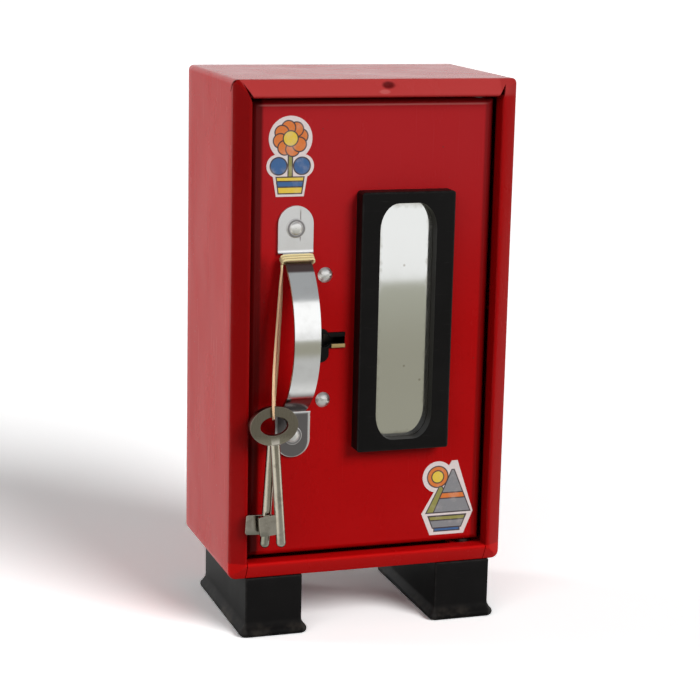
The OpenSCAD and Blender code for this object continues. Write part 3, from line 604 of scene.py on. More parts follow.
@dataclass(frozen=True)
class Twine:
    """Waxed natural twine with loose fibres, yellower where it is wound."""

    name: str
    straw: Colour = (0.96, 0.60, 0.34)
    pale: Colour = (0.98, 0.73, 0.46)
    shade: Colour = (0.52, 0.29, 0.14)
    wound: Colour = (0.86, 0.80, 0.42)

    def make(self) -> Material:
        """Makes the material.

        Returns:
            The material.
        """
        s = Shade(self.name)
        fibre = s.noise(2.4, 4.0, s.stretched((3.0, 3.0, 0.6)))
        colour = s.layered(self.straw, (fibre.step(0.4, 0.7), self.pale),
                           (s.noise(0.5, 4.0).step(0.55, 0.75) * 0.4, self.shade),
                           (s.z.step(195.5, 198.5) * 0.7, self.wound))
        return s.close(Base_Color=colour, Roughness=0.62 + fibre * 0.2,
                       Normal=s.bump(fibre * 0.08), Sheen_Weight=0.2)


@dataclass(frozen=True)
class Rubber:
    """Matt rubber with a powdery bloom."""

    name: str
    black: Colour = (0.016, 0.016, 0.016)
    powder: Colour = (0.05, 0.048, 0.046)

    def make(self) -> Material:
        """Makes the material.

        Returns:
            The material.
        """
        s = Shade(self.name)
        bloom = s.noise(0.6, 5.0)
        colour = s.mix(bloom.step(0.45, 0.75) * 0.5, self.black, self.powder)
        return s.close(Base_Color=colour, Roughness=0.7 + bloom * 0.15,
                       Normal=s.bump(s.noise(2.5, 3.0) * 0.02))


@dataclass(frozen=True)
class PrintedVinyl:
    """Two small printed stickers: a potted flower above, a sailing boat under a sun below."""

    name: str
    flower: Pair
    boat: Pair
    size: float = 41.0
    petals: int = 8
    paper: Colour = (0.80, 0.70, 0.68)
    aged: Colour = (0.72, 0.62, 0.58)
    ink: Colour = (0.05, 0.035, 0.04)
    orange: Colour = (0.72, 0.20, 0.045)
    yellow: Colour = (0.82, 0.58, 0.07)
    blue: Colour = (0.05, 0.13, 0.30)
    olive: Colour = (0.30, 0.28, 0.08)
    grey: Colour = (0.25, 0.25, 0.26)
    ior: float = 1.45

    def make(self) -> Material:
        """Makes the material.

        Returns:
            The material.
        """
        s = Shade(self.name)
        printed = []
        for middle, rows in ((self.flower, self._flower()), (self.boat, self._boat())):
            for tint, *measures in rows:
                shape = self._drawn(s, middle, *measures)
                printed += [(shape.step(0.75, 0.55), self.ink), (shape.step(0.12, -0.12), tint)]
        faded = s.noise(0.2, 4.0)
        dots = s.cells(1.4).step(0.42, 0.34)
        colour = s.layered(self.paper, *printed, (faded.step(0.45, 0.8) * 0.25, self.aged),
                           (dots * 0.06, self.ink))
        return s.close(Base_Color=colour, Roughness=0.34 + faded * 0.16, IOR=self.ior,
                       Normal=s.bump(s.noise(0.12, 3.0) * 0.05))

    def _drawn(self, s: Shade, middle: Pair, x: float, z: float, half: float,
               height: Optional[float] = None, lean: float = 0.0) -> Val:
        """Draws a circle or a slab from measures in parts of the sticker's size.

        Args:
            s: the material that it is drawn in.
            middle: the sticker's middle.
            x: the shape's middle across.
            z: its middle upwards.
            half: the circle's radius or the slab's half width.
            height: the slab's half height.
            lean: how much each side of the slab moves out upwards.

        Returns:
            The signed distance from the shape.
        """
        k = self.size
        place = middle[0] + x * k, middle[1] + z * k
        if height is None:
            return s.round(*place, half * k)
        return s.slab(*place, half * k, height * k, lean)

    def _flower(self) -> list:
        """The flower's colours and measures, from the lowest shape up.

        Returns:
            Rows for drawing.
        """
        turns = [math.radians(360 / self.petals * k + 12) for k in range(self.petals)]
        petals = [(self.orange, 0.135 * math.cos(a), 0.22 + 0.135 * math.sin(a), 0.082)
                  for a in turns]
        return [(self.olive, 0.0, -0.14, 0.02, 0.2),
                (self.blue, -0.15, -0.12, 0.10), (self.blue, 0.15, -0.12, 0.10),
                *petals, (self.yellow, 0.0, 0.22, 0.088),
                (self.yellow, 0.0, -0.36, 0.158, 0.095, 0.14),
                (self.blue, 0.0, -0.345, 0.16, 0.028, 0.14)]

    def _boat(self) -> list:
        """The sun's, the sails' and the hull's colours and measures, from the lowest shape up."""
        return [(self.orange, -0.146, 0.29, 0.135), (self.yellow, -0.146, 0.29, 0.075),
                (self.olive, -0.10, -0.02, 0.10, 0.17, -0.5),
                (self.grey, 0.065, 0.09, 0.13, 0.28, -0.42),
                (self.orange, 0.065, 0.03, 0.1552, 0.03, -0.42),
                (self.grey, 0.0, -0.325, 0.225, 0.075, 0.4),
                (self.olive, 0.0, -0.275, 0.24, 0.02, 0.4),
                (self.blue, 0.0, -0.43, 0.17, 0.014)]


class Finishes:
    """Every finish of the cabinet, made once."""

    def __init__(self) -> None:
        """Makes the materials."""
        box = (0.0, 10.5, BODY_MIDDLE), (76.0, 46.5, 130.0)
        door = (0.0, -27.0, BODY_MIDDLE), (65.6, 5.0, 119.6)
        surround = (WINDOW_X, -36.75, WINDOW_Z), (25.5, 4.75, 68.5)
        retainer = (WINDOW_X, -29.5, WINDOW_Z), (23.8, 1.5, 70.8)
        pane = (WINDOW_X, -33.5, WINDOW_Z), (15.5, 1.5, 62.5)
        keyhole = (-22.0, -32.0, 154.3), (9.0, 0.8, 8.8)
        rivets = [(HANDLE_X, BODY_MIDDLE + s * RIVET_RISE) for s in (1, -1)]
        self.shell = RedEnamel("red_shell_enamel", *box, Panel.SHELL).make()
        self.door = RedEnamel("red_door_enamel", *door, Panel.DOOR, wear=0.5).make()
        self.fitting = RedEnamel("red_fitting_enamel", *box, wear=0.0).make()
        self.left_foot = self._foot("left_foot_moulding", LEFT_FOOT_X)
        self.right_foot = self._foot("right_foot_moulding", RIGHT_FOOT_X)
        self.surround = Moulding("window_moulding", *surround, rough=0.36).make()
        self.retainer = Moulding("retainer_moulding", *retainer).make()
        self.black = Moulding("keyhole_black_enamel", *keyhole, rough=0.3).make()
        self.mirror = MirrorGlass("silvered_glass", *pane).make()
        self.chrome = StrapPlating("bright_plating").make()
        # The worn plating has painted shadow rings round the strap's rivets.
        self.worn = Metal("worn_plating", (0.72, 0.715, 0.70), (0.46, 0.455, 0.44), 0.36,
                          lay=Lay.NONE, shadow_ringed=rivets).make()
        self.zinc = Metal("zinc_plating", (0.60, 0.60, 0.585), (0.38, 0.37, 0.34), 0.3,
                          lay=Lay.NONE).make()
        self.dark = Metal("blackened_steel", (0.075, 0.07, 0.066), (0.12, 0.075, 0.045), 0.4).make()
        self.brass = Metal("dull_brass", (0.56, 0.41, 0.19), (0.27, 0.19, 0.09), 0.3,
                           lay=Lay.ACROSS).make()
        self.key = KeySteel("key_steel").make()
        self.twine = Twine("waxed_twine").make()
        self.rubber = Rubber("buffer_rubber").make()
        self.vinyl = PrintedVinyl("printed_vinyl", (-44.93, 253.0), (46.44, 67.3)).make()

    @staticmethod
    def _foot(name: str, x: float) -> Material:
        """One foot's finish."""
        middle, half = (x, FOOT_Y, 16.0), (15.5, 42.25, 16.0)
        return Moulding(name, middle, half, rough=0.46, dust=0.2).make()


class Mesh:
    """Mesh tools that several sub-assemblies use."""

    @staticmethod
    def shown(name: str, mesh: bpy.types.Mesh) -> Piece:
        """Puts a mesh in the scene.

        Args:
            name: the piece's name.
            mesh: its mesh, already in place.

        Returns:
            The object at the origin.
        """
        mesh.name = name
        piece = bpy.data.objects.new(name, mesh)
        bpy.context.scene.collection.objects.link(piece)
        return piece

    @staticmethod
    def built(name: str, points: Iterable[Sequence[float]], faces: Iterable[Sequence[int]],
              edges: Iterable[Sequence[int]] = ()) -> Piece:
        """Makes a piece from points in millimetres.

        Args:
            name: the piece's name.
            points: the vertices.
            faces: the faces' vertex numbers.
            edges: loose edges' vertex numbers.

        Returns:
            The object.
        """
        mesh = bpy.data.meshes.new(name)
        metres = [[c * MM for c in p] for p in points]
        mesh.from_pydata(metres, list(edges), [list(f) for f in faces])
        mesh.update()
        return Mesh.shown(name, mesh)

    @staticmethod
    def rounded(half: Pair, radii: Pair, side_steps: int, corner_steps: int) -> list:
        """Points round a rectangle with rounded corners.

        Args:
            half: its half sizes.
            radii: the radius of its lower and of its upper corners.
            side_steps: how many parts a side has.
            corner_steps: how many parts a corner has.

        Returns:
            Points in the plane, starting at the bottom left and running to the right.
        """
        (w, h), (low, top) = half, radii
        corners = ((-1, -1, low), (1, -1, low), (1, 1, top), (-1, 1, top), (-1, -1, low))
        points = []
        for turn, (bx, bz, br), (sx, sz, r) in zip((-90, 0, 90, 180), corners, corners[1:]):
            side = Vector((math.cos(math.radians(turn)), math.sin(math.radians(turn))))
            middle = Vector((sx * (w - r), sz * (h - r)))
            start = Vector((bx * (w - br), bz * (h - br))) + side * br
            for k in range(side_steps):
                points.append(start.lerp(middle + side * r, k / side_steps))
            for k in range(corner_steps):
                a = math.radians(turn + 90 * k / corner_steps)
                points.append(middle + Vector((r * math.cos(a), r * math.sin(a))))
        return points

    @staticmethod
    def bands(rows: int, around: int, closed: bool = False) -> list:
        """Faces that join rows of points, each of which runs round once.

        Args:
            rows: how many rows there are.
            around: how many points a row has.
            closed: whether the last row joins the first.

        Returns:
            The faces' vertex numbers.
        """
        faces = []
        for i in range(rows if closed else rows - 1):
            here, there = i * around, (i + 1) % rows * around
            for k in range(around):
                q = (k + 1) % around
                faces.append((here + k, here + q, there + q, there + k))
        return faces

    @staticmethod
    def stacks(name: str, stacks: Sequence[Sequence[Sequence[Point]]]) -> Piece:
        """Makes closed solids from rings of points.

        Args:
            name: the piece's name.
            stacks: the rings of each solid, from one end to the other, all with as many points.

        Returns:
            The object, its faces turned outwards.
        """
        points, faces = [], []
        for rings in stacks:
            n, first, last = len(rings[0]), len(points), (len(rings) - 1) * len(rings[0])
            points += [p for ring in rings for p in ring]
            made = [range(n), range(last, last + n), *Mesh.bands(len(rings), n)]
            faces += [[first + v for v in face] for face in made]
        return Mesh.outward(Mesh.built(name, points, faces))

    @staticmethod
    def lathe(name: str, profile: Sequence[Pair], turns: int = 40) -> Piece:
        """Turns a profile about the Y axis; its first and last points lie on the axis.

        Args:
            name: the piece's name.
            profile: pairs of radius and place along Y, in millimetres.
            turns: faces around.

        Returns:
            The closed piece.
        """
        angles = [2 * math.pi * k / turns for k in range(turns)]
        points = [(r * math.cos(a), y, r * math.sin(a)) for r, y in profile for a in angles]
        return Mesh.outward(Mesh.built(name, points, Mesh.bands(len(profile), turns)))

    @staticmethod
    def smooth(piece: Piece, degrees: float = 38.0) -> Piece:
        """Shades a piece smooth except at edges sharper than an angle.

        Args:
            piece: the object.
            degrees: the angle.

        Returns:
            The same object.
        """
        piece.data.polygons.foreach_set("use_smooth", [True] * len(piece.data.polygons))
        piece.data.set_sharp_from_angle(angle=math.radians(degrees))
        return piece

    @staticmethod
    def outward(piece: Piece) -> Piece:
        """Merges doubles and turns all faces outwards.

        Args:
            piece: the object.

        Returns:
            The same object.
        """
        bm = bmesh.new()
        bm.from_mesh(piece.data)
        bmesh.ops.remove_doubles(bm, verts=bm.verts, dist=1e-7)
        bmesh.ops.recalc_face_normals(bm, faces=bm.faces)
        bm.to_mesh(piece.data)
        bm.free()
        return piece

    @staticmethod
    def applied(piece: Piece) -> bpy.types.Mesh:
        """A piece's mesh with its modifiers applied."""
        graph = bpy.context.evaluated_depsgraph_get()
        return bpy.data.meshes.new_from_object(piece.evaluated_get(graph), depsgraph=graph)

    @staticmethod
    def carved(piece: Piece, cutter: Piece) -> Piece:
        """Takes one solid out of another.

        Args:
            piece: the object that is cut.
            cutter: the solid that is taken out, which is used up.

        Returns:
            The cut object.
        """
        cut = piece.modifiers.new("cut", "BOOLEAN")
        cut.object = cutter
        cut.solver = "EXACT"
        mesh = Mesh.applied(piece)
        piece.modifiers.clear()
        piece.data = mesh
        bpy.data.objects.remove(cutter)
        return piece

    @staticmethod
    def softened(node: str, name: str, width: float, segments: int) -> Piece:
        """Makes a copy of a CAD node with its sharp outer edges rounded.

        Args:
            node: the CAD node.
            name: the piece's name.
            width: the rounding's width in millimetres.
            segments: faces across the rounding.

        Returns:
            The piece, which isn't dressed yet.
        """
        flat, sharp = math.radians(0.4), math.radians(32.0)
        bm = bmesh.new()
        bm.from_mesh(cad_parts[node].data)
        bmesh.ops.remove_doubles(bm, verts=bm.verts, dist=2e-6)
        bmesh.ops.dissolve_limit(bm, angle_limit=flat, verts=bm.verts, edges=bm.edges)
        edges = [e for e in bm.edges if len(e.link_faces) == 2 and e.is_convex
                 and e.calc_face_angle(0.0) > sharp]
        bmesh.ops.bevel(bm, geom=edges, offset=width * MM, offset_type="OFFSET",
                        segments=segments, profile=0.5, affect="EDGES", clamp_overlap=True)
        bmesh.ops.triangulate(bm, faces=[f for f in bm.faces if len(f.verts) > 4])
        mesh = bpy.data.meshes.new(name)
        bm.to_mesh(mesh)
        bm.free()
        mesh.materials.clear()
        piece = Mesh.smooth(Mesh.shown(name, mesh))
        piece.modifiers.new("even_normals", "WEIGHTED_NORMAL").keep_sharp = True
        return piece


class Tree(Nodes):
    """A geometry node tree that makes a piece from a carrier mesh."""

    def __init__(self, name: str, **inputs: str) -> None:
        """Makes the tree and its sockets.

        Args:
            name: the tree's name.
            inputs: the socket type of each input after the geometry, by name.
        """
        super().__init__(bpy.data.node_groups.new(name, "GeometryNodeTree"))
        sockets = self.tree.interface
        for way in ("INPUT", "OUTPUT"):
            sockets.new_socket("Geometry", in_out=way, socket_type="NodeSocketGeometry")
        for key, kind in {**inputs, "Material": "NodeSocketMaterial"}.items():
            sockets.new_socket(key, in_out="INPUT", socket_type=kind)
        self.given = self.node("NodeGroupInput").outputs

    def close(self, made: Node) -> None:
        """Ends the tree in Realize Instances and Set Material.

        Args:
            made: the node that gives the geometry.
        """
        real = self.node("GeometryNodeRealizeInstances", {"Geometry": made})
        done = self.node("GeometryNodeSetMaterial", {"Geometry": real,
                                                     "Material": self.given["Material"]})
        self.node("NodeGroupOutput", {0: done})

    def run(self, carrier: Piece, values: dict, name: str) -> Piece:
        """Runs the tree on a carrier mesh, which is used up.

        Args:
            carrier: the object whose mesh goes into the tree.
            values: the tree's inputs by name.
            name: the new piece's name.

        Returns:
            The plain mesh piece.
        """
        modifier = carrier.modifiers.new(name, "NODES")
        modifier.node_group = self.tree
        for item in self.tree.interface.items_tree:
            if item.in_out == "INPUT" and item.name in values:
                modifier[item.identifier] = values[item.name]
        mesh = Mesh.applied(carrier)
        bpy.data.objects.remove(carrier)
        return Mesh.shown(name, mesh)


class Dressing:
    """Puts finished pieces on their bodies."""

    @staticmethod
    def place(piece: Piece, body: Body, slot: Slot, nodes: Sequence[str],
              finish: Optional[Material] = None) -> None:
        """Gives a piece its finish and body, and lets it stand for CAD nodes.

        Args:
            piece: the piece.
            body: the body that it rides on.
            slot: its material slot in the record; not used.
            nodes: the CAD nodes that it stands for.
            finish: its material, where the mesh has none yet.
        """
        if finish is not None:
            piece.data.materials.clear()
            piece.data.materials.append(finish)
        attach(piece, body.value)
        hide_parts(*nodes)
        LOG.info("%s rides %s, %d faces", piece.name, body.value, len(piece.data.polygons))

    @staticmethod
    def paint(finish: Material, *nodes: str) -> None:
        """Gives CAD nodes that stay in view their finish.

        Args:
            finish: the material.
            nodes: the CAD nodes.
        """
        for node in nodes:
            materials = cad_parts[node].data.materials
            materials.clear()
            materials.append(finish)
            LOG.info("%s is dressed in %s", node, finish.name)


@dataclass
class View:
    """The camera that stands where the photograph was taken, in metres."""

    place: Point = (-0.3428, -1.0184, 0.3798)
    ahead: Point = (0.3116, 0.9257, -0.2145)
    up: Point = (0.0465, 0.2108, 0.9764)
    lens: float = 105.25
    sensor: float = 36.0
    nearest: float = 0.05

    def build(self) -> None:
        """Makes the camera."""
        data = bpy.data.cameras.new("view")
        data.sensor_width = self.sensor
        data.lens = self.lens
        data.clip_start = self.nearest
        camera = bpy.data.objects.new("view", data)
        bpy.context.scene.collection.objects.link(camera)
        ahead = Vector(self.ahead).normalized()
        right = ahead.cross(Vector(self.up)).normalized()
        turn = Matrix((right, right.cross(ahead), -ahead)).transposed().to_4x4()
        camera.matrix_world = Matrix.Translation(self.place) @ turn
        bpy.context.scene.camera = camera


@dataclass
class Stage:
    """The pale floor, the lamps and the room that bright metal shows."""

    rows: Sequence[float] = (-0.99, -0.25, -0.1, 0.2, 1.0, 4.0, 12.0)
    columns: Sequence[float] = (-12.0, -1.0, 0.0, 1.0, 12.0)
    lamps: Sequence[Tuple[str, float, float, Point]] = (
        ("key_light", 2.25, 31.0, (0.398, -0.749, 0.53)),
        ("side_light", 3.05, 20.0, (-1.0, 0.5, 0.06)),
        ("fill_light", 0.55, 40.0, (-0.62, -0.62, 0.48)))
    fill: float = 0.12
    white: Colour = (1.0, 1.0, 1.0)
    ceiling: Colour = (0.40, 0.41, 0.42)
    plain: Colour = (0.4, 0.4, 0.4)
    seen: Colour = (1.75, 1.75, 1.75)
    # The floor's painted glow for bright metal: tones of stone, a painted shadow under the cabinet
    # and painted bright strips at the sides.
    close_by: Colour = (1.22, 1.22, 1.2)
    tones: Sequence[Tuple[float, float, Colour]] = (
        (-60.0, -130.0, (0.86, 0.86, 0.84)),
        (-240.0, -390.0, (0.55, 0.535, 0.43)),
        (-640.0, -960.0, (0.66, 0.66, 0.55)))
    under: Colour = (0.12, 0.12, 0.12)
    strip: Colour = (2.3, 2.25, 2.1)
    glow: float = 0.66

    def build(self) -> None:
        """Makes the floor, the world and the lamps."""
        self._floor()
        self._world()
        for lamp in self.lamps:
            self._lamp(*lamp)
        bpy.context.scene.view_settings.view_transform = "Standard"

    def _floor(self) -> None:
        """Makes the floor, white to the camera; to bright metal it glows with painted light: tones
        of stone, a painted shadow under the cabinet and bright strips.
        """
        n = len(self.columns)
        points = [(x / MM, y / MM, 0.0) for y in self.rows for x in self.columns]
        faces = [(i * n + j, i * n + j + 1, (i + 1) * n + j + 1, (i + 1) * n + j)
                 for i in range(len(self.rows) - 1) for j in range(n - 1)]
        floor = Mesh.built("floor", points, faces)
        s = Shade("floor_pale")
        rays = s.node("ShaderNodeLightPath").outputs
        # Painted shadow under the cabinet and painted bright strips at the sides, in the glow that
        # bright metal sees.
        under = abs(s.x).step(95.0, 60.0) * abs(s.y - 10.0).step(75.0, 40.0)
        strips = (abs(s.x).step(130.0, 210.0) * s.y.step(-330.0, -270.0)
                  * s.y.step(-5.0, -45.0))
        tones = [(s.y.step(near, far), tone) for near, far, tone in self.tones]
        stone = s.layered(self.close_by, *tones, (under, self.under), (strips, self.strip))
        plain = s.node("ShaderNodeBsdfDiffuse", {"Color": self.plain})
        seen = s.node("ShaderNodeBsdfDiffuse", {"Color": self.seen})
        glow = s.node("ShaderNodeEmission", {"Color": stone, "Strength": self.glow})
        first = s.node("ShaderNodeMixShader", {0: rays["Is Glossy Ray"], 1: plain, 2: glow})
        last = s.node("ShaderNodeMixShader", {0: rays["Is Camera Ray"], 1: first, 2: seen})
        s.node("ShaderNodeOutputMaterial", {0: last})
        floor.data.materials.append(s.material)

    def _world(self) -> None:
        """Makes the soft room light, white to the camera, with a dim ceiling for bright metal."""
        world = bpy.data.worlds.new("room")
        bpy.context.scene.world = world
        world.use_nodes = True
        nodes = Nodes(world.node_tree)
        rays = nodes.node("ShaderNodeLightPath").outputs
        way = nodes.node("ShaderNodeTexCoord").outputs["Generated"]
        up = nodes.val("ShaderNodeSeparateXYZ", {0: way}, "Z")
        wall = nodes.node("ShaderNodeMapRange", {"Value": up, "From Min": -0.03, "From Max": 0.03,
                                                 "To Min": 1.04, "To Max": 1.22})
        room = nodes.mix(up.step(0.58, 0.62), wall, self.ceiling)
        soft = nodes.node("ShaderNodeBackground", {"Color": self.white, "Strength": self.fill})
        mirrored = nodes.node("ShaderNodeBackground", {"Color": room})
        seen = nodes.node("ShaderNodeBackground", {"Color": self.white})
        first = nodes.node("ShaderNodeMixShader", {0: rays["Is Glossy Ray"], 1: soft, 2: mirrored})
        clear = nodes.math("MAXIMUM", rays["Is Camera Ray"], rays["Is Transmission Ray"])
        last = nodes.node("ShaderNodeMixShader", {0: clear, 1: first, 2: seen})
        nodes.node("ShaderNodeOutputWorld", {0: last})

    @staticmethod
    def _lamp(name: str, strength: float, width: float, source: Point) -> None:
        """Makes one soft lamp far away.

        Args:
            name: the lamp's name.
            strength: its strength.
            width: how wide it looks from the cabinet, in degrees.
            source: the direction that it shines from.
        """
        data = bpy.data.lights.new(name, "SUN")
        data.energy = strength
        data.angle = math.radians(width)
        lamp = bpy.data.objects.new(name, data)
        bpy.context.scene.collection.objects.link(lamp)
        lamp.visible_glossy = False
        lamp.rotation_euler = Vector(source).to_track_quat("Z", "Y").to_euler()


@dataclass
class KeyTwine:
    """The twine that holds the keys: turns round the strap, and a hanging loop."""

    finish: Material
    start: Point = (HANDLE_X, DOOR_FACE, BODY_MIDDLE)
    thick: float = 1.3
    route: Sequence[Point] = (
        (-8.2, -5, 36.5), (-8.2, -5, 33.5), (-8.2, -5, 30), (-8.2, -5.1, 21), (-8.6, -5.4, 11),
        (-9.2, -5.9, 1), (-9.8, -6.4, -9), (-10.5, -6.9, -19), (-11.2, -7.4, -27),
        (-11.7, -7.8, -32), (-12, -8, -36), (-12.2, -8.1, -39.2), (-12.3, -8.6, -41.4),
        (-12.7, -9.8, -42.4), (-13.2, -11.2, -42.2), (-14, -14, -41.5), (-14.9, -16.8, -40.8),
        (-15.3, -18.2, -40.4), (-15.7, -19.4, -39.2), (-15.9, -19.9, -37.2),
        (-15.9, -19.9, -34.6), (-15.8, -19.3, -31), (-15.5, -18, -26), (-14.7, -15.9, -17),
        (-13.7, -14, -8), (-12.7, -12.3, 1), (-11.6, -10.7, 11), (-10.5, -9.2, 21),
        (-9.3, -7.4, 30), (-8.8, -7, 33.5), (-8.8, -7, 36.8))
    gap: float = 0.45
    fine_steps: int = 12
    strands: int = 3
    lobe: float = 0.12
    twist: float = 1500.0
    sides: int = 12
    strap_wide: float = 13.8
    strap_thick: float = 1.6
    slack: Pair = (0.9, 0.3)
    square: float = 0.35
    root: Point = (HANDLE_X, -34.715, 202.087)
    lean: float = 58.58
    first_turn: float = 0.4
    between: float = 0.5
    turns: float = 2.5
    steps: int = 96
    tree: Tree = field(init=False)

    def __post_init__(self) -> None:
        """Makes the node tree that lays twisted strands along a path."""
        tree = Tree("twisted_twine")
        curve = tree.node("GeometryNodeMeshToCurve", {0: tree.given["Geometry"]})
        along = tree.node("GeometryNodeSplineParameter").outputs
        tilted = tree.node("GeometryNodeSetCurveTilt", {
            "Curve": curve, "Tilt": tree.math("MULTIPLY", along["Length"], self.twist)})
        ring = tree.node("GeometryNodeCurvePrimitiveCircle", {"Resolution": self.sides,
                                                              "Radius": self.thick / 2 * MM})
        angle = tree.math("MULTIPLY", along["Factor"], 2 * math.pi * self.strands)
        place = tree.node("GeometryNodeInputPosition")
        swell = tree.node("ShaderNodeVectorMath", {
            0: place, "Scale": tree.math("COSINE", angle) * self.lobe}, operation="SCALE")
        lobed = tree.node("GeometryNodeSetPosition", {"Geometry": ring, "Offset": swell})
        tree.close(tree.node("GeometryNodeCurveToMesh", {"Curve": tilted, "Profile Curve": lobed,
                                                         "Fill Caps": True}))
        self.tree = tree

    def build(self) -> None:
        """Makes the loop and the turns."""
        path = self._even([tuple(a + b for a, b in zip(self.start, p)) for p in self.route])
        loop = self._strand("key_twine_loop", path)
        Dressing.place(loop, Body.LOOP, Slot.CORD, ["key_cord"])
        turns = self._strand("key_twine_turns", self._even(self._turn_points()))
        Dressing.place(turns, Body.DOOR, Slot.CORD, ["cord_winding"])

    def _turn_points(self) -> list:
        """Points of the turns round the strap's upper end.

        Returns:
            The points in millimetres.
        """
        lean = math.radians(self.lean)
        along = Vector((0.0, -math.sin(lean), -math.cos(lean)))
        out = Vector((0.0, -math.cos(lean), math.sin(lean)))
        wide = self.strap_wide / 2 + self.thick / 2 + self.slack[0]
        deep = self.strap_thick / 2 + self.thick / 2 + self.slack[1]
        points = []
        for k in range(int(self.steps * self.turns) + 1):
            a = 2 * math.pi * k / self.steps
            c, s = (math.copysign(abs(v) ** self.square, v) for v in (math.cos(a), math.sin(a)))
            flat = Vector((wide * c, 0, 0)) + out * deep * s
            flat += along * (self.first_turn + (self.thick + self.between) * k / self.steps)
            points.append(tuple(Vector(self.root) + flat))
        return points

    def _even(self, points: Sequence[Point]) -> list:
        """Runs a smooth line through points and sets it out evenly.

        Args:
            points: the points to pass.

        Returns:
            The new points.
        """
        p = [Vector(q) for q in points]
        fine = []
        for i in range(len(p) - 1):
            a, b, c, d = p[max(i - 1, 0)], p[i], p[i + 1], p[min(i + 2, len(p) - 1)]
            for k in range(self.fine_steps):
                t = k / self.fine_steps
                fine.append(0.5 * (2 * b + (c - a) * t + (2 * a - 5 * b + 4 * c - d) * t * t
                                   + (3 * b - a - 3 * c + d) * t ** 3))
        fine.append(p[-1])
        at = np.concatenate([[0.0], np.cumsum([(b - a).length for a, b in zip(fine, fine[1:])])])
        want = np.linspace(0.0, at[-1], max(2, int(round(at[-1] / self.gap)) + 1))
        cloud = np.array([list(q) for q in fine])
        return [tuple(float(np.interp(w, at, cloud[:, k])) for k in range(3)) for w in want]

    def _strand(self, name: str, path: Sequence[Point]) -> Piece:
        """Lays twisted twine along a path.

        Args:
            name: the piece's name.
            path: the points in millimetres.

        Returns:
            The piece with its finish.
        """
        links = [(i, i + 1) for i in range(len(path) - 1)]
        carrier = Mesh.built(name + "_path", path, [], links)
        return Mesh.smooth(self.tree.run(carrier, {"Material": self.finish}, name), 80.0)


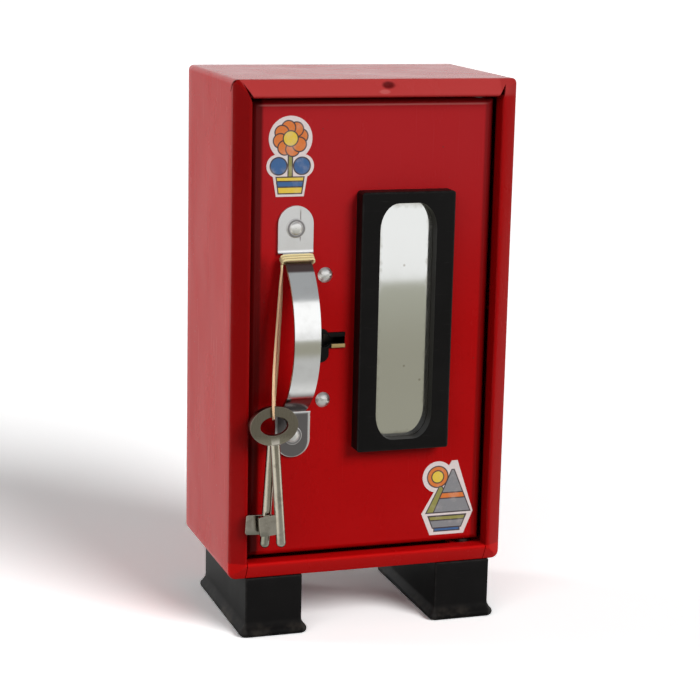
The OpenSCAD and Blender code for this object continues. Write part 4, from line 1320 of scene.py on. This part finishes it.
@dataclass
class Fasteners:
    """Every row of rivets and screws, set out by one node tree."""

    finishes: Finishes
    seed: int = 7
    most_spin: float = 1.5
    strap_rivet: Sequence[Pair] = (
        (0.0, -1.7), (1.2, -1.66), (2.1, -1.52), (2.8, -1.25), (3.15, -0.95), (3.35, -0.72),
        (3.6, -0.66), (4.1, -0.76), (4.5, -0.74), (4.85, -0.55), (5.0, -0.25), (5.0, 0.0),
        (2.0, 0.0), (2.0, 2.6), (3.3, 2.6), (3.5, 2.8), (3.5, 3.4), (3.1, 3.8), (0.0, 3.8))
    blind_rivet: Sequence[Pair] = (
        (0.0, -0.45), (0.7, -0.45), (0.85, -0.9), (1.5, -1.0), (2.1, -0.85), (2.5, -0.5),
        (2.6, -0.2), (2.6, 0.0), (1.5, 0.0), (1.5, 2.0), (2.1, 2.0), (2.3, 2.2), (2.3, 2.6),
        (1.9, 3.0), (0.0, 3.0))
    cut_width: float = 0.12
    cut_depth: float = 0.58
    cross_length: float = 0.56
    dome_steps: int = 8
    tree: Tree = field(init=False)

    def __post_init__(self) -> None:
        """Makes the node tree that sets one head on each point of a row."""
        tree = Tree("row_of_heads", Head="NodeSocketObject", Spin="NodeSocketFloat")
        head = tree.node("GeometryNodeObjectInfo", {"Object": tree.given["Head"]},
                         transform_space="ORIGINAL")
        spin = Val(tree, tree.given["Spin"])
        drawn = tree.node("FunctionNodeRandomValue", {2: spin * -1.0, 3: spin, "Seed": self.seed},
                          data_type="FLOAT")
        turn = tree.node("ShaderNodeCombineXYZ", {"Y": drawn.outputs[1]})
        tree.close(tree.node("GeometryNodeInstanceOnPoints", {
            "Points": tree.given["Geometry"], "Instance": head.outputs["Geometry"],
            "Rotation": turn}))
        self.tree = tree

    def build(self) -> None:
        """Makes every row."""
        f, spin = self.finishes, self.most_spin
        strap = self._spread((HANDLE_X, -33.6, BODY_MIDDLE), (0.0, 0.0, RIVET_RISE))
        self._row("strap_rivets", Mesh.lathe("rivet_shape", self.strap_rivet), strap, spin,
                  Body.DOOR, Slot.BRIGHT, "handle_rivets", f.worn)
        case = self._spread((-25.2, DOOR_FACE, LOCK_Z), (0.0, 0.0, 33.0))
        self._row("case_screws", self._screw(8.0, 2.0, 4.0, 7.3, Drive.SLOT), case, 0.9,
                  Body.DOOR, Slot.BRIGHT, "lock_screws", f.worn)
        back = [(s * 71.1, BODY_BACK, BODY_MIDDLE + k * 103.1) for s in (-1, 1) for k in (-1, 0, 1)]
        back += self._spread((0.0, BODY_BACK, BODY_MIDDLE), (0.0, 0.0, 125.1))
        blind = self._turned(Mesh.lathe("blind_rivet_shape", self.blind_rivet))
        self._row("back_panel_rivets", blind, back, spin,
                  Body.CABINET, Slot.RED, "back_rivets", f.fitting)
        pane = self._spread((WINDOW_X, -28.0, WINDOW_Z), (21.5, 0.0, 50.0))
        self._row("pane_screws", self._turned(self._screw(5.5, 2.0, 3.0, 9.5, Drive.CROSS)),
                  pane, spin, Body.DOOR, Slot.ZINC, "retainer_screws", f.zinc)
        cover = self._spread((-35.0, -20.0, LOCK_Z), (19.0, 0.0, 34.0))
        self._row("case_cover_screws", self._turned(self._screw(4.7, 1.6, 2.5, 7.0, Drive.SLOT)),
                  cover, spin, Body.DOOR, Slot.ZINC, "cover_screws", f.zinc)
        feet = (LEFT_FOOT_X + RIGHT_FOOT_X) / 2, FOOT_Y, 33.0
        runner = self._spread(feet, ((RIGHT_FOOT_X - LEFT_FOOT_X) / 2, 25.75, 0.0))
        upright = self._turned(self._screw(8.0, 2.4, 4.0, 17.0, Drive.CROSS), -RIGHT_ANGLE, "X")
        self._row("runner_screws", upright, runner, 0.0,
                  Body.CABINET, Slot.ZINC, "foot_screws", f.zinc)

    @staticmethod
    def _spread(middle: Point, half: Point) -> list:
        """Points on both sides of a middle, along each axis with a half distance."""
        return list(product(*((m - h, m + h) if h else (m,) for m, h in zip(middle, half))))

    def _screw(self, wide: float, high: float, shank: float, deep: float, drive: Drive) -> Piece:
        """A domed screw.

        Args:
            wide: the head's diameter.
            high: the head's height.
            shank: the shank's diameter.
            deep: the shank's length below the seat.
            drive: what is cut into the head.

        Returns:
            The screw, its seat at y 0, facing -Y.
        """
        r, steps = wide / 2, self.dome_steps
        ball = (r * r + high * high) / (2 * high)
        angles = [math.asin(r / ball) * k / steps for k in range(steps)]
        profile = [(ball * math.sin(a), -high + ball * (1 - math.cos(a))) for a in angles]
        profile += [(r, -0.12), (r - 0.1, 0.0), (shank / 2, 0.0), (shank / 2, deep - shank / 3),
                    (shank / 5, deep), (0.0, deep)]
        screw = Mesh.lathe("screw_shape", profile, 48)
        length = r + 1.0 if drive is Drive.SLOT else r * self.cross_length
        half = self.cut_width * r
        ends = [[(-length, y, -half), (length, y, -half), (length, y, half), (-length, y, half)]
                for y in (-high - 1.0, -high * (1.0 - self.cut_depth))]
        for angle in drive.value:
            cutter = Mesh.stacks("slot_shape", [ends])
            cutter.data.transform(Matrix.Rotation(math.radians(angle), 4, "Y"))
            screw = Mesh.carved(screw, cutter)
        return screw

    @staticmethod
    def _turned(head: Piece, angle: float = math.pi, axis: str = "Z") -> Piece:
        """Turns a head, to face +Y where nothing else is said."""
        head.data.transform(Matrix.Rotation(angle, 4, axis))
        return head

    def _row(self, name: str, head: Piece, points: Sequence[Point], spin: float, body: Body,
             slot: Slot, node: str, finish: Material) -> None:
        """Sets a head on each point.

        Args:
            name: the piece's name.
            head: the head, which is used up.
            points: the seats' middles in millimetres.
            spin: the most that a head is turned about its own axis, in radians.
            body: the body that the row rides on.
            slot: its material slot.
            node: the CAD node that it stands for.
            finish: its material.
        """
        carrier = Mesh.built(name + "_points", points, [])
        piece = self.tree.run(carrier, {"Head": head, "Spin": spin, "Material": finish}, name)
        bpy.data.objects.remove(head)
        Dressing.place(Mesh.smooth(piece, 34.0), body, slot, [node])


@dataclass
class CabinetShell:
    """The folded steel wrap with its sloped front flange, and what is fixed to it."""

    finishes: Finishes
    half_wide: float = 76.0
    half_high: float = 130.0
    front: float = -39.3
    fall: float = 4.1
    belly: float = 1.12
    sheet: float = 1.0
    flange: float = 9.2
    lip: float = 8.3
    rear_flange: float = 9.0
    fold: float = 1.4
    lip_fold: float = 1.3
    fold_steps: int = 6
    inner_steps: int = 4
    slope_steps: int = 8
    wall_steps: int = 12
    top_corner: float = 2.6
    low_corner: float = 4.2
    least_corner: float = 0.04
    side_steps: int = 64
    corner_steps: int = 6
    foot_half: Pair = (15.5, 42.25)
    foot_high: float = 32.0
    foot_corner: float = 1.0
    foot_edge: Sequence[Pair] = ((-0.6, 0.0), (-0.18, -0.12), (0.0, -0.5), (0.0, -6.0),
                                 (0.0, -12.0), (0.0, -18.0))
    foot_steps: int = 8
    rim_out: float = 3.0
    rim_high: float = 8.0
    rim_lip: float = 0.28
    rim_steps: int = 10
    rim_flare: float = 1.8
    rim_lean: float = 40.0
    side_wave: float = 0.35
    side_lengths: Pair = (21.0, 17.0)
    top_wave: float = 0.3
    top_lengths: Pair = (16.0, 11.0)
    dents: Sequence[Tuple[float, Pair, Pair]] = (
        (1.15, (5.5, 288.6), (3.0, 2.2)), (0.15, (5.5, 288.0), (7.0, 3.2)))
    side_seams: Sequence[Sequence[Pair]] = (
        ((-67.1, 281.0), (-66.1, 281.0), (-66.1, 283.0), (-71.3, 290.6)),
        ((67.1, 281.0), (64.6, 281.0), (64.6, 282.9), (69.2, 289.2)),
        ((-66.9, 43.0), (-66.45, 43.0), (-66.5, 31.0), (-66.85, 31.0)),
        ((66.9, 43.0), (66.45, 43.0), (66.5, 31.0), (66.85, 31.0)))
    notch: Sequence[Pair] = ((-36.0, 291.4), (-35.2, 292.6), (-30.0, 285.9), (-30.4, 285.3))
    notch_ends: Pair = (-77.5, -74.4)
    edge_round: float = 0.25
    edge_steps: int = 2

    def build(self) -> None:
        """Makes the wrap and dresses the pieces on it."""
        f = self.finishes
        panels = ["left_side", "right_side", "top_panel", "bottom_panel"]
        Dressing.place(self._wrap(), Body.CABINET, Slot.RED, panels, f.shell)
        for node, x, finish in (("left_foot", LEFT_FOOT_X, f.left_foot),
                                ("right_foot", RIGHT_FOOT_X, f.right_foot)):
            piece = self._foot(node + "_runner", x)
            Dressing.place(piece, Body.CABINET, Slot.PLASTIC, [node], finish)
        for node in ("back_panel", "upper_hinge_bracket", "lower_hinge_bracket", "bolt_keeper",
                     "door_stops"):
            piece = Mesh.softened(node, node + "_sheet", self.edge_round, self.edge_steps)
            Dressing.place(piece, Body.CABINET, Slot.RED, [node], f.fitting)
        Dressing.paint(f.zinc, "hinge_pins")
        Dressing.paint(f.rubber, "stop_buffers")

    @staticmethod
    def _bend(middle: Pair, radii: Pair, angles: Pair, steps: int) -> list:
        """Points of an arc in the sheet's section.

        Args:
            middle: the arc's middle.
            radii: its radius along each axis, below 0 where it is turned over.
            angles: where it starts and ends.
            steps: how many parts it has.

        Returns:
            Pairs of inset and place along Y.
        """
        (x, y), (across, along) = middle, radii
        turns = np.linspace(*angles, steps + 1).tolist()
        return [(x + across * math.sin(a), y + along * math.cos(a)) for a in turns]

    def _profile(self) -> list:
        """The sheet's section from the door's side out, round the side wall and back inside.

        Returns:
            Pairs of inset from the outer face and place along Y.
        """
        r, c, t = self.lip_fold, self.fold, self.sheet
        run = self.flange - t
        end = math.atan2(self.fall, run)
        inner, outer = self.flange - r, c - c * math.sin(end)
        drop = self.fall * (run - outer) / run
        corner = self.front + drop + c * math.cos(end)
        lip_end, rear = self.front + self.lip, BODY_BACK - c
        n, slope, wall = self.fold_steps, self.slope_steps, self.wall_steps
        return [(self.flange, lip_end),
                *self._bend((inner, self.front + r), (r, -r), (RIGHT_ANGLE, 0.0), n),
                *((inner + (outer - inner) * k / slope,
                   self.front + drop * (k / slope) ** self.belly) for k in range(1, slope + 1)),
                *self._bend((c, corner), (-c, -c), (end, RIGHT_ANGLE), n)[1:],
                *((0.0, corner + (rear - corner) * k / wall) for k in range(1, wall)),
                *self._bend((c, rear), (-c, c), (RIGHT_ANGLE, 0.0), n),
                (self.rear_flange, BODY_BACK), (self.rear_flange, BODY_BACK - t),
                *self._bend((c, rear), (t - c, c - t), (0.0, RIGHT_ANGLE), self.inner_steps),
                *self._bend((c, corner), (t - c, t - c), (RIGHT_ANGLE, end), self.inner_steps),
                (run, self.front + t), (run, lip_end)]

    def _ring(self, inset: float, y: float) -> list:
        """One turn round the cabinet at an inset.

        Args:
            inset: the distance inside the outer face.
            y: the place along Y.

        Returns:
            The points, starting at the bottom left and running to the right.
        """
        half = self.half_wide - inset, self.half_high - inset
        radii = [max(r - inset, self.least_corner) for r in (self.low_corner, self.top_corner)]
        flat = Mesh.rounded(half, radii, self.side_steps, self.corner_steps)
        return [(p.x, y, BODY_MIDDLE + p.y) for p in flat]

    @staticmethod
    def _wave(place: Pair, lengths: Pair) -> float:
        """The height of a slow wave at a place, from 0.2 to 1."""
        return 0.6 + 0.4 * math.sin(place[0] / lengths[0] + place[1] / lengths[1])

    def _pressed(self, point: Point) -> Point:
        """Moves a point as the used sheet has moved: slightly wavy panels and a dent on top.

        Args:
            point: the point before.

        Returns:
            The point after.
        """
        x, y, z = point
        near, margin = 1.2, 20.0
        top = BODY_MIDDLE + self.half_high
        inside = (min(max((y - self.front) / margin, 0.0), 1.0)
                  * min(max((BODY_BACK - y) / margin, 0.0), 1.0))
        if abs(abs(x) - self.half_wide) < near:
            up = max(0.0, 1 - ((z - BODY_MIDDLE) / self.half_high) ** 2)
            wave = self._wave((z, y), self.side_lengths)
            x -= math.copysign(self.side_wave * inside * up * wave, x)
        if abs(z - top) < near:
            over = max(0.0, 1 - (x / self.half_wide) ** 2)
            z -= self.top_wave * inside * over * self._wave((x, y), self.top_lengths)
        if y < self.front + 4.0 and z > top - self.flange + 0.4:
            for deep, (across, up), (wide, high) in self.dents:
                y += deep * math.exp(-((x - across) / wide) ** 2 - ((z - up) / high) ** 2)
        return (x, y, z)

    def _wrap(self) -> Piece:
        """Makes the wrap as one closed sheet with its seams.

        Returns:
            The piece.
        """
        rings = [self._ring(i, y) for i, y in self._profile()]
        points = [self._pressed(p) for ring in rings for p in ring]
        faces = Mesh.bands(len(rings), len(rings[0]), closed=True)
        wrap = Mesh.outward(Mesh.built("folded_wrap", points, faces))
        return Mesh.smooth(Mesh.carved(wrap, self._seams()), 40.0)

    def _seams(self) -> Piece:
        """Makes the solids that open the seams where the flanges meet.

        Returns:
            The solids, as one object.
        """
        ends = self.front - 2.0, self.front + 4.6
        seams = [[[(x, y, z) for x, z in shape] for y in ends] for shape in self.side_seams]
        seams.append([[(x, y, z) for y, z in self.notch] for x in self.notch_ends])
        return Mesh.stacks("seam_shape", seams)

    def _foot(self, name: str, x: float) -> Piece:
        """Makes one runner foot with its flared rim.

        Args:
            name: the piece's name.
            x: its middle across.

        Returns:
            The closed piece.
        """
        lip, n, m = self.rim_high * self.rim_lip, self.foot_steps, self.rim_steps
        steep = math.radians(self.rim_lean)
        out = self.rim_out - lip * (1 - math.cos(steep))
        high = self.rim_high - lip * (1 + math.sin(steep))
        rows = [(grow, self.foot_high + down) for grow, down in self.foot_edge]
        rows += [(out * (k / m) ** self.rim_flare, self.rim_high - high * k / m)
                 for k in range(m + 1)]
        for k in range(1, n + 1):
            a = steep - (steep + RIGHT_ANGLE) * k / n
            rows.append((self.rim_out - lip + lip * math.cos(a), lip + lip * math.sin(a)))
        rings = []
        for grow, z in rows:
            r = self.foot_corner + max(grow, 0.0)
            flat = Mesh.rounded([half + grow for half in self.foot_half], (r, r), 1, n)
            rings.append([(x + p.x, FOOT_Y + p.y, z) for p in flat])
        return Mesh.smooth(Mesh.stacks(name, [rings]), 40.0)


@dataclass
class Door:
    """The door pan with its window, handle, lock and stickers."""

    finishes: Finishes

    def build(self) -> None:
        """Makes and dresses every piece of the door that the other classes don't."""
        f = self.finishes
        soft = [("door_panel", "door_pan", 0.35, 3, Slot.RED, f.door),
                ("window_surround", "window_frame", 0.8, 4, Slot.PLASTIC, f.surround),
                ("window_pane", "mirror_pane", 0.4, 2, Slot.GLASS, f.mirror),
                ("pane_retainer", "pane_clamp", 0.35, 2, Slot.PLASTIC, f.retainer),
                ("door_handle", "strap_handle", 0.32, 3, Slot.BRIGHT, f.chrome),
                ("lock_case", "lock_body", 0.25, 2, Slot.DARK, f.dark),
                ("lock_cover", "lock_lid", 0.3, 2, Slot.DARK, f.dark),
                ("keyhole_plate", "keyhole_scutcheon", 0.2, 2, Slot.ENAMEL, f.black),
                ("keyhole_strip", "keyhole_brass_lip", 0.2, 2, Slot.BRASS, f.brass)]
        for node, name, width, segments, slot, finish in soft:
            piece = Mesh.softened(node, name, width, segments)
            Dressing.place(piece, Body.DOOR, slot, [node], finish)
        Dressing.paint(f.vinyl, "door_stickers")
        Dressing.paint(f.brass, "lock_bolt", "lock_lever")
        Dressing.paint(f.dark, "hinge_bushes")
        Dressing.paint(f.zinc, "lever_spring")


@dataclass
class Keys:
    """The two keys on the twine."""

    finish: Material
    edge_round: float = 0.8
    edge_steps: int = 4

    def build(self) -> None:
        """Makes both keys."""
        for node, body in (("front_key", Body.FRONT_KEY), ("rear_key", Body.REAR_KEY)):
            piece = Mesh.softened(node, node + "_steel", self.edge_round, self.edge_steps)
            Dressing.place(piece, body, Slot.KEY, [node], self.finish)


def main() -> None:
    """Builds the cabinet in order."""
    logging.basicConfig(level=logging.INFO, format="%(name)s: %(message)s")
    View().build()
    finishes = Finishes()
    KeyTwine(finishes.twine).build()
    Keys(finishes.key).build()
    Stage().build()
    CabinetShell(finishes).build()
    Door(finishes).build()
    Fasteners(finishes).build()


if __name__ == "__main__":
    main()
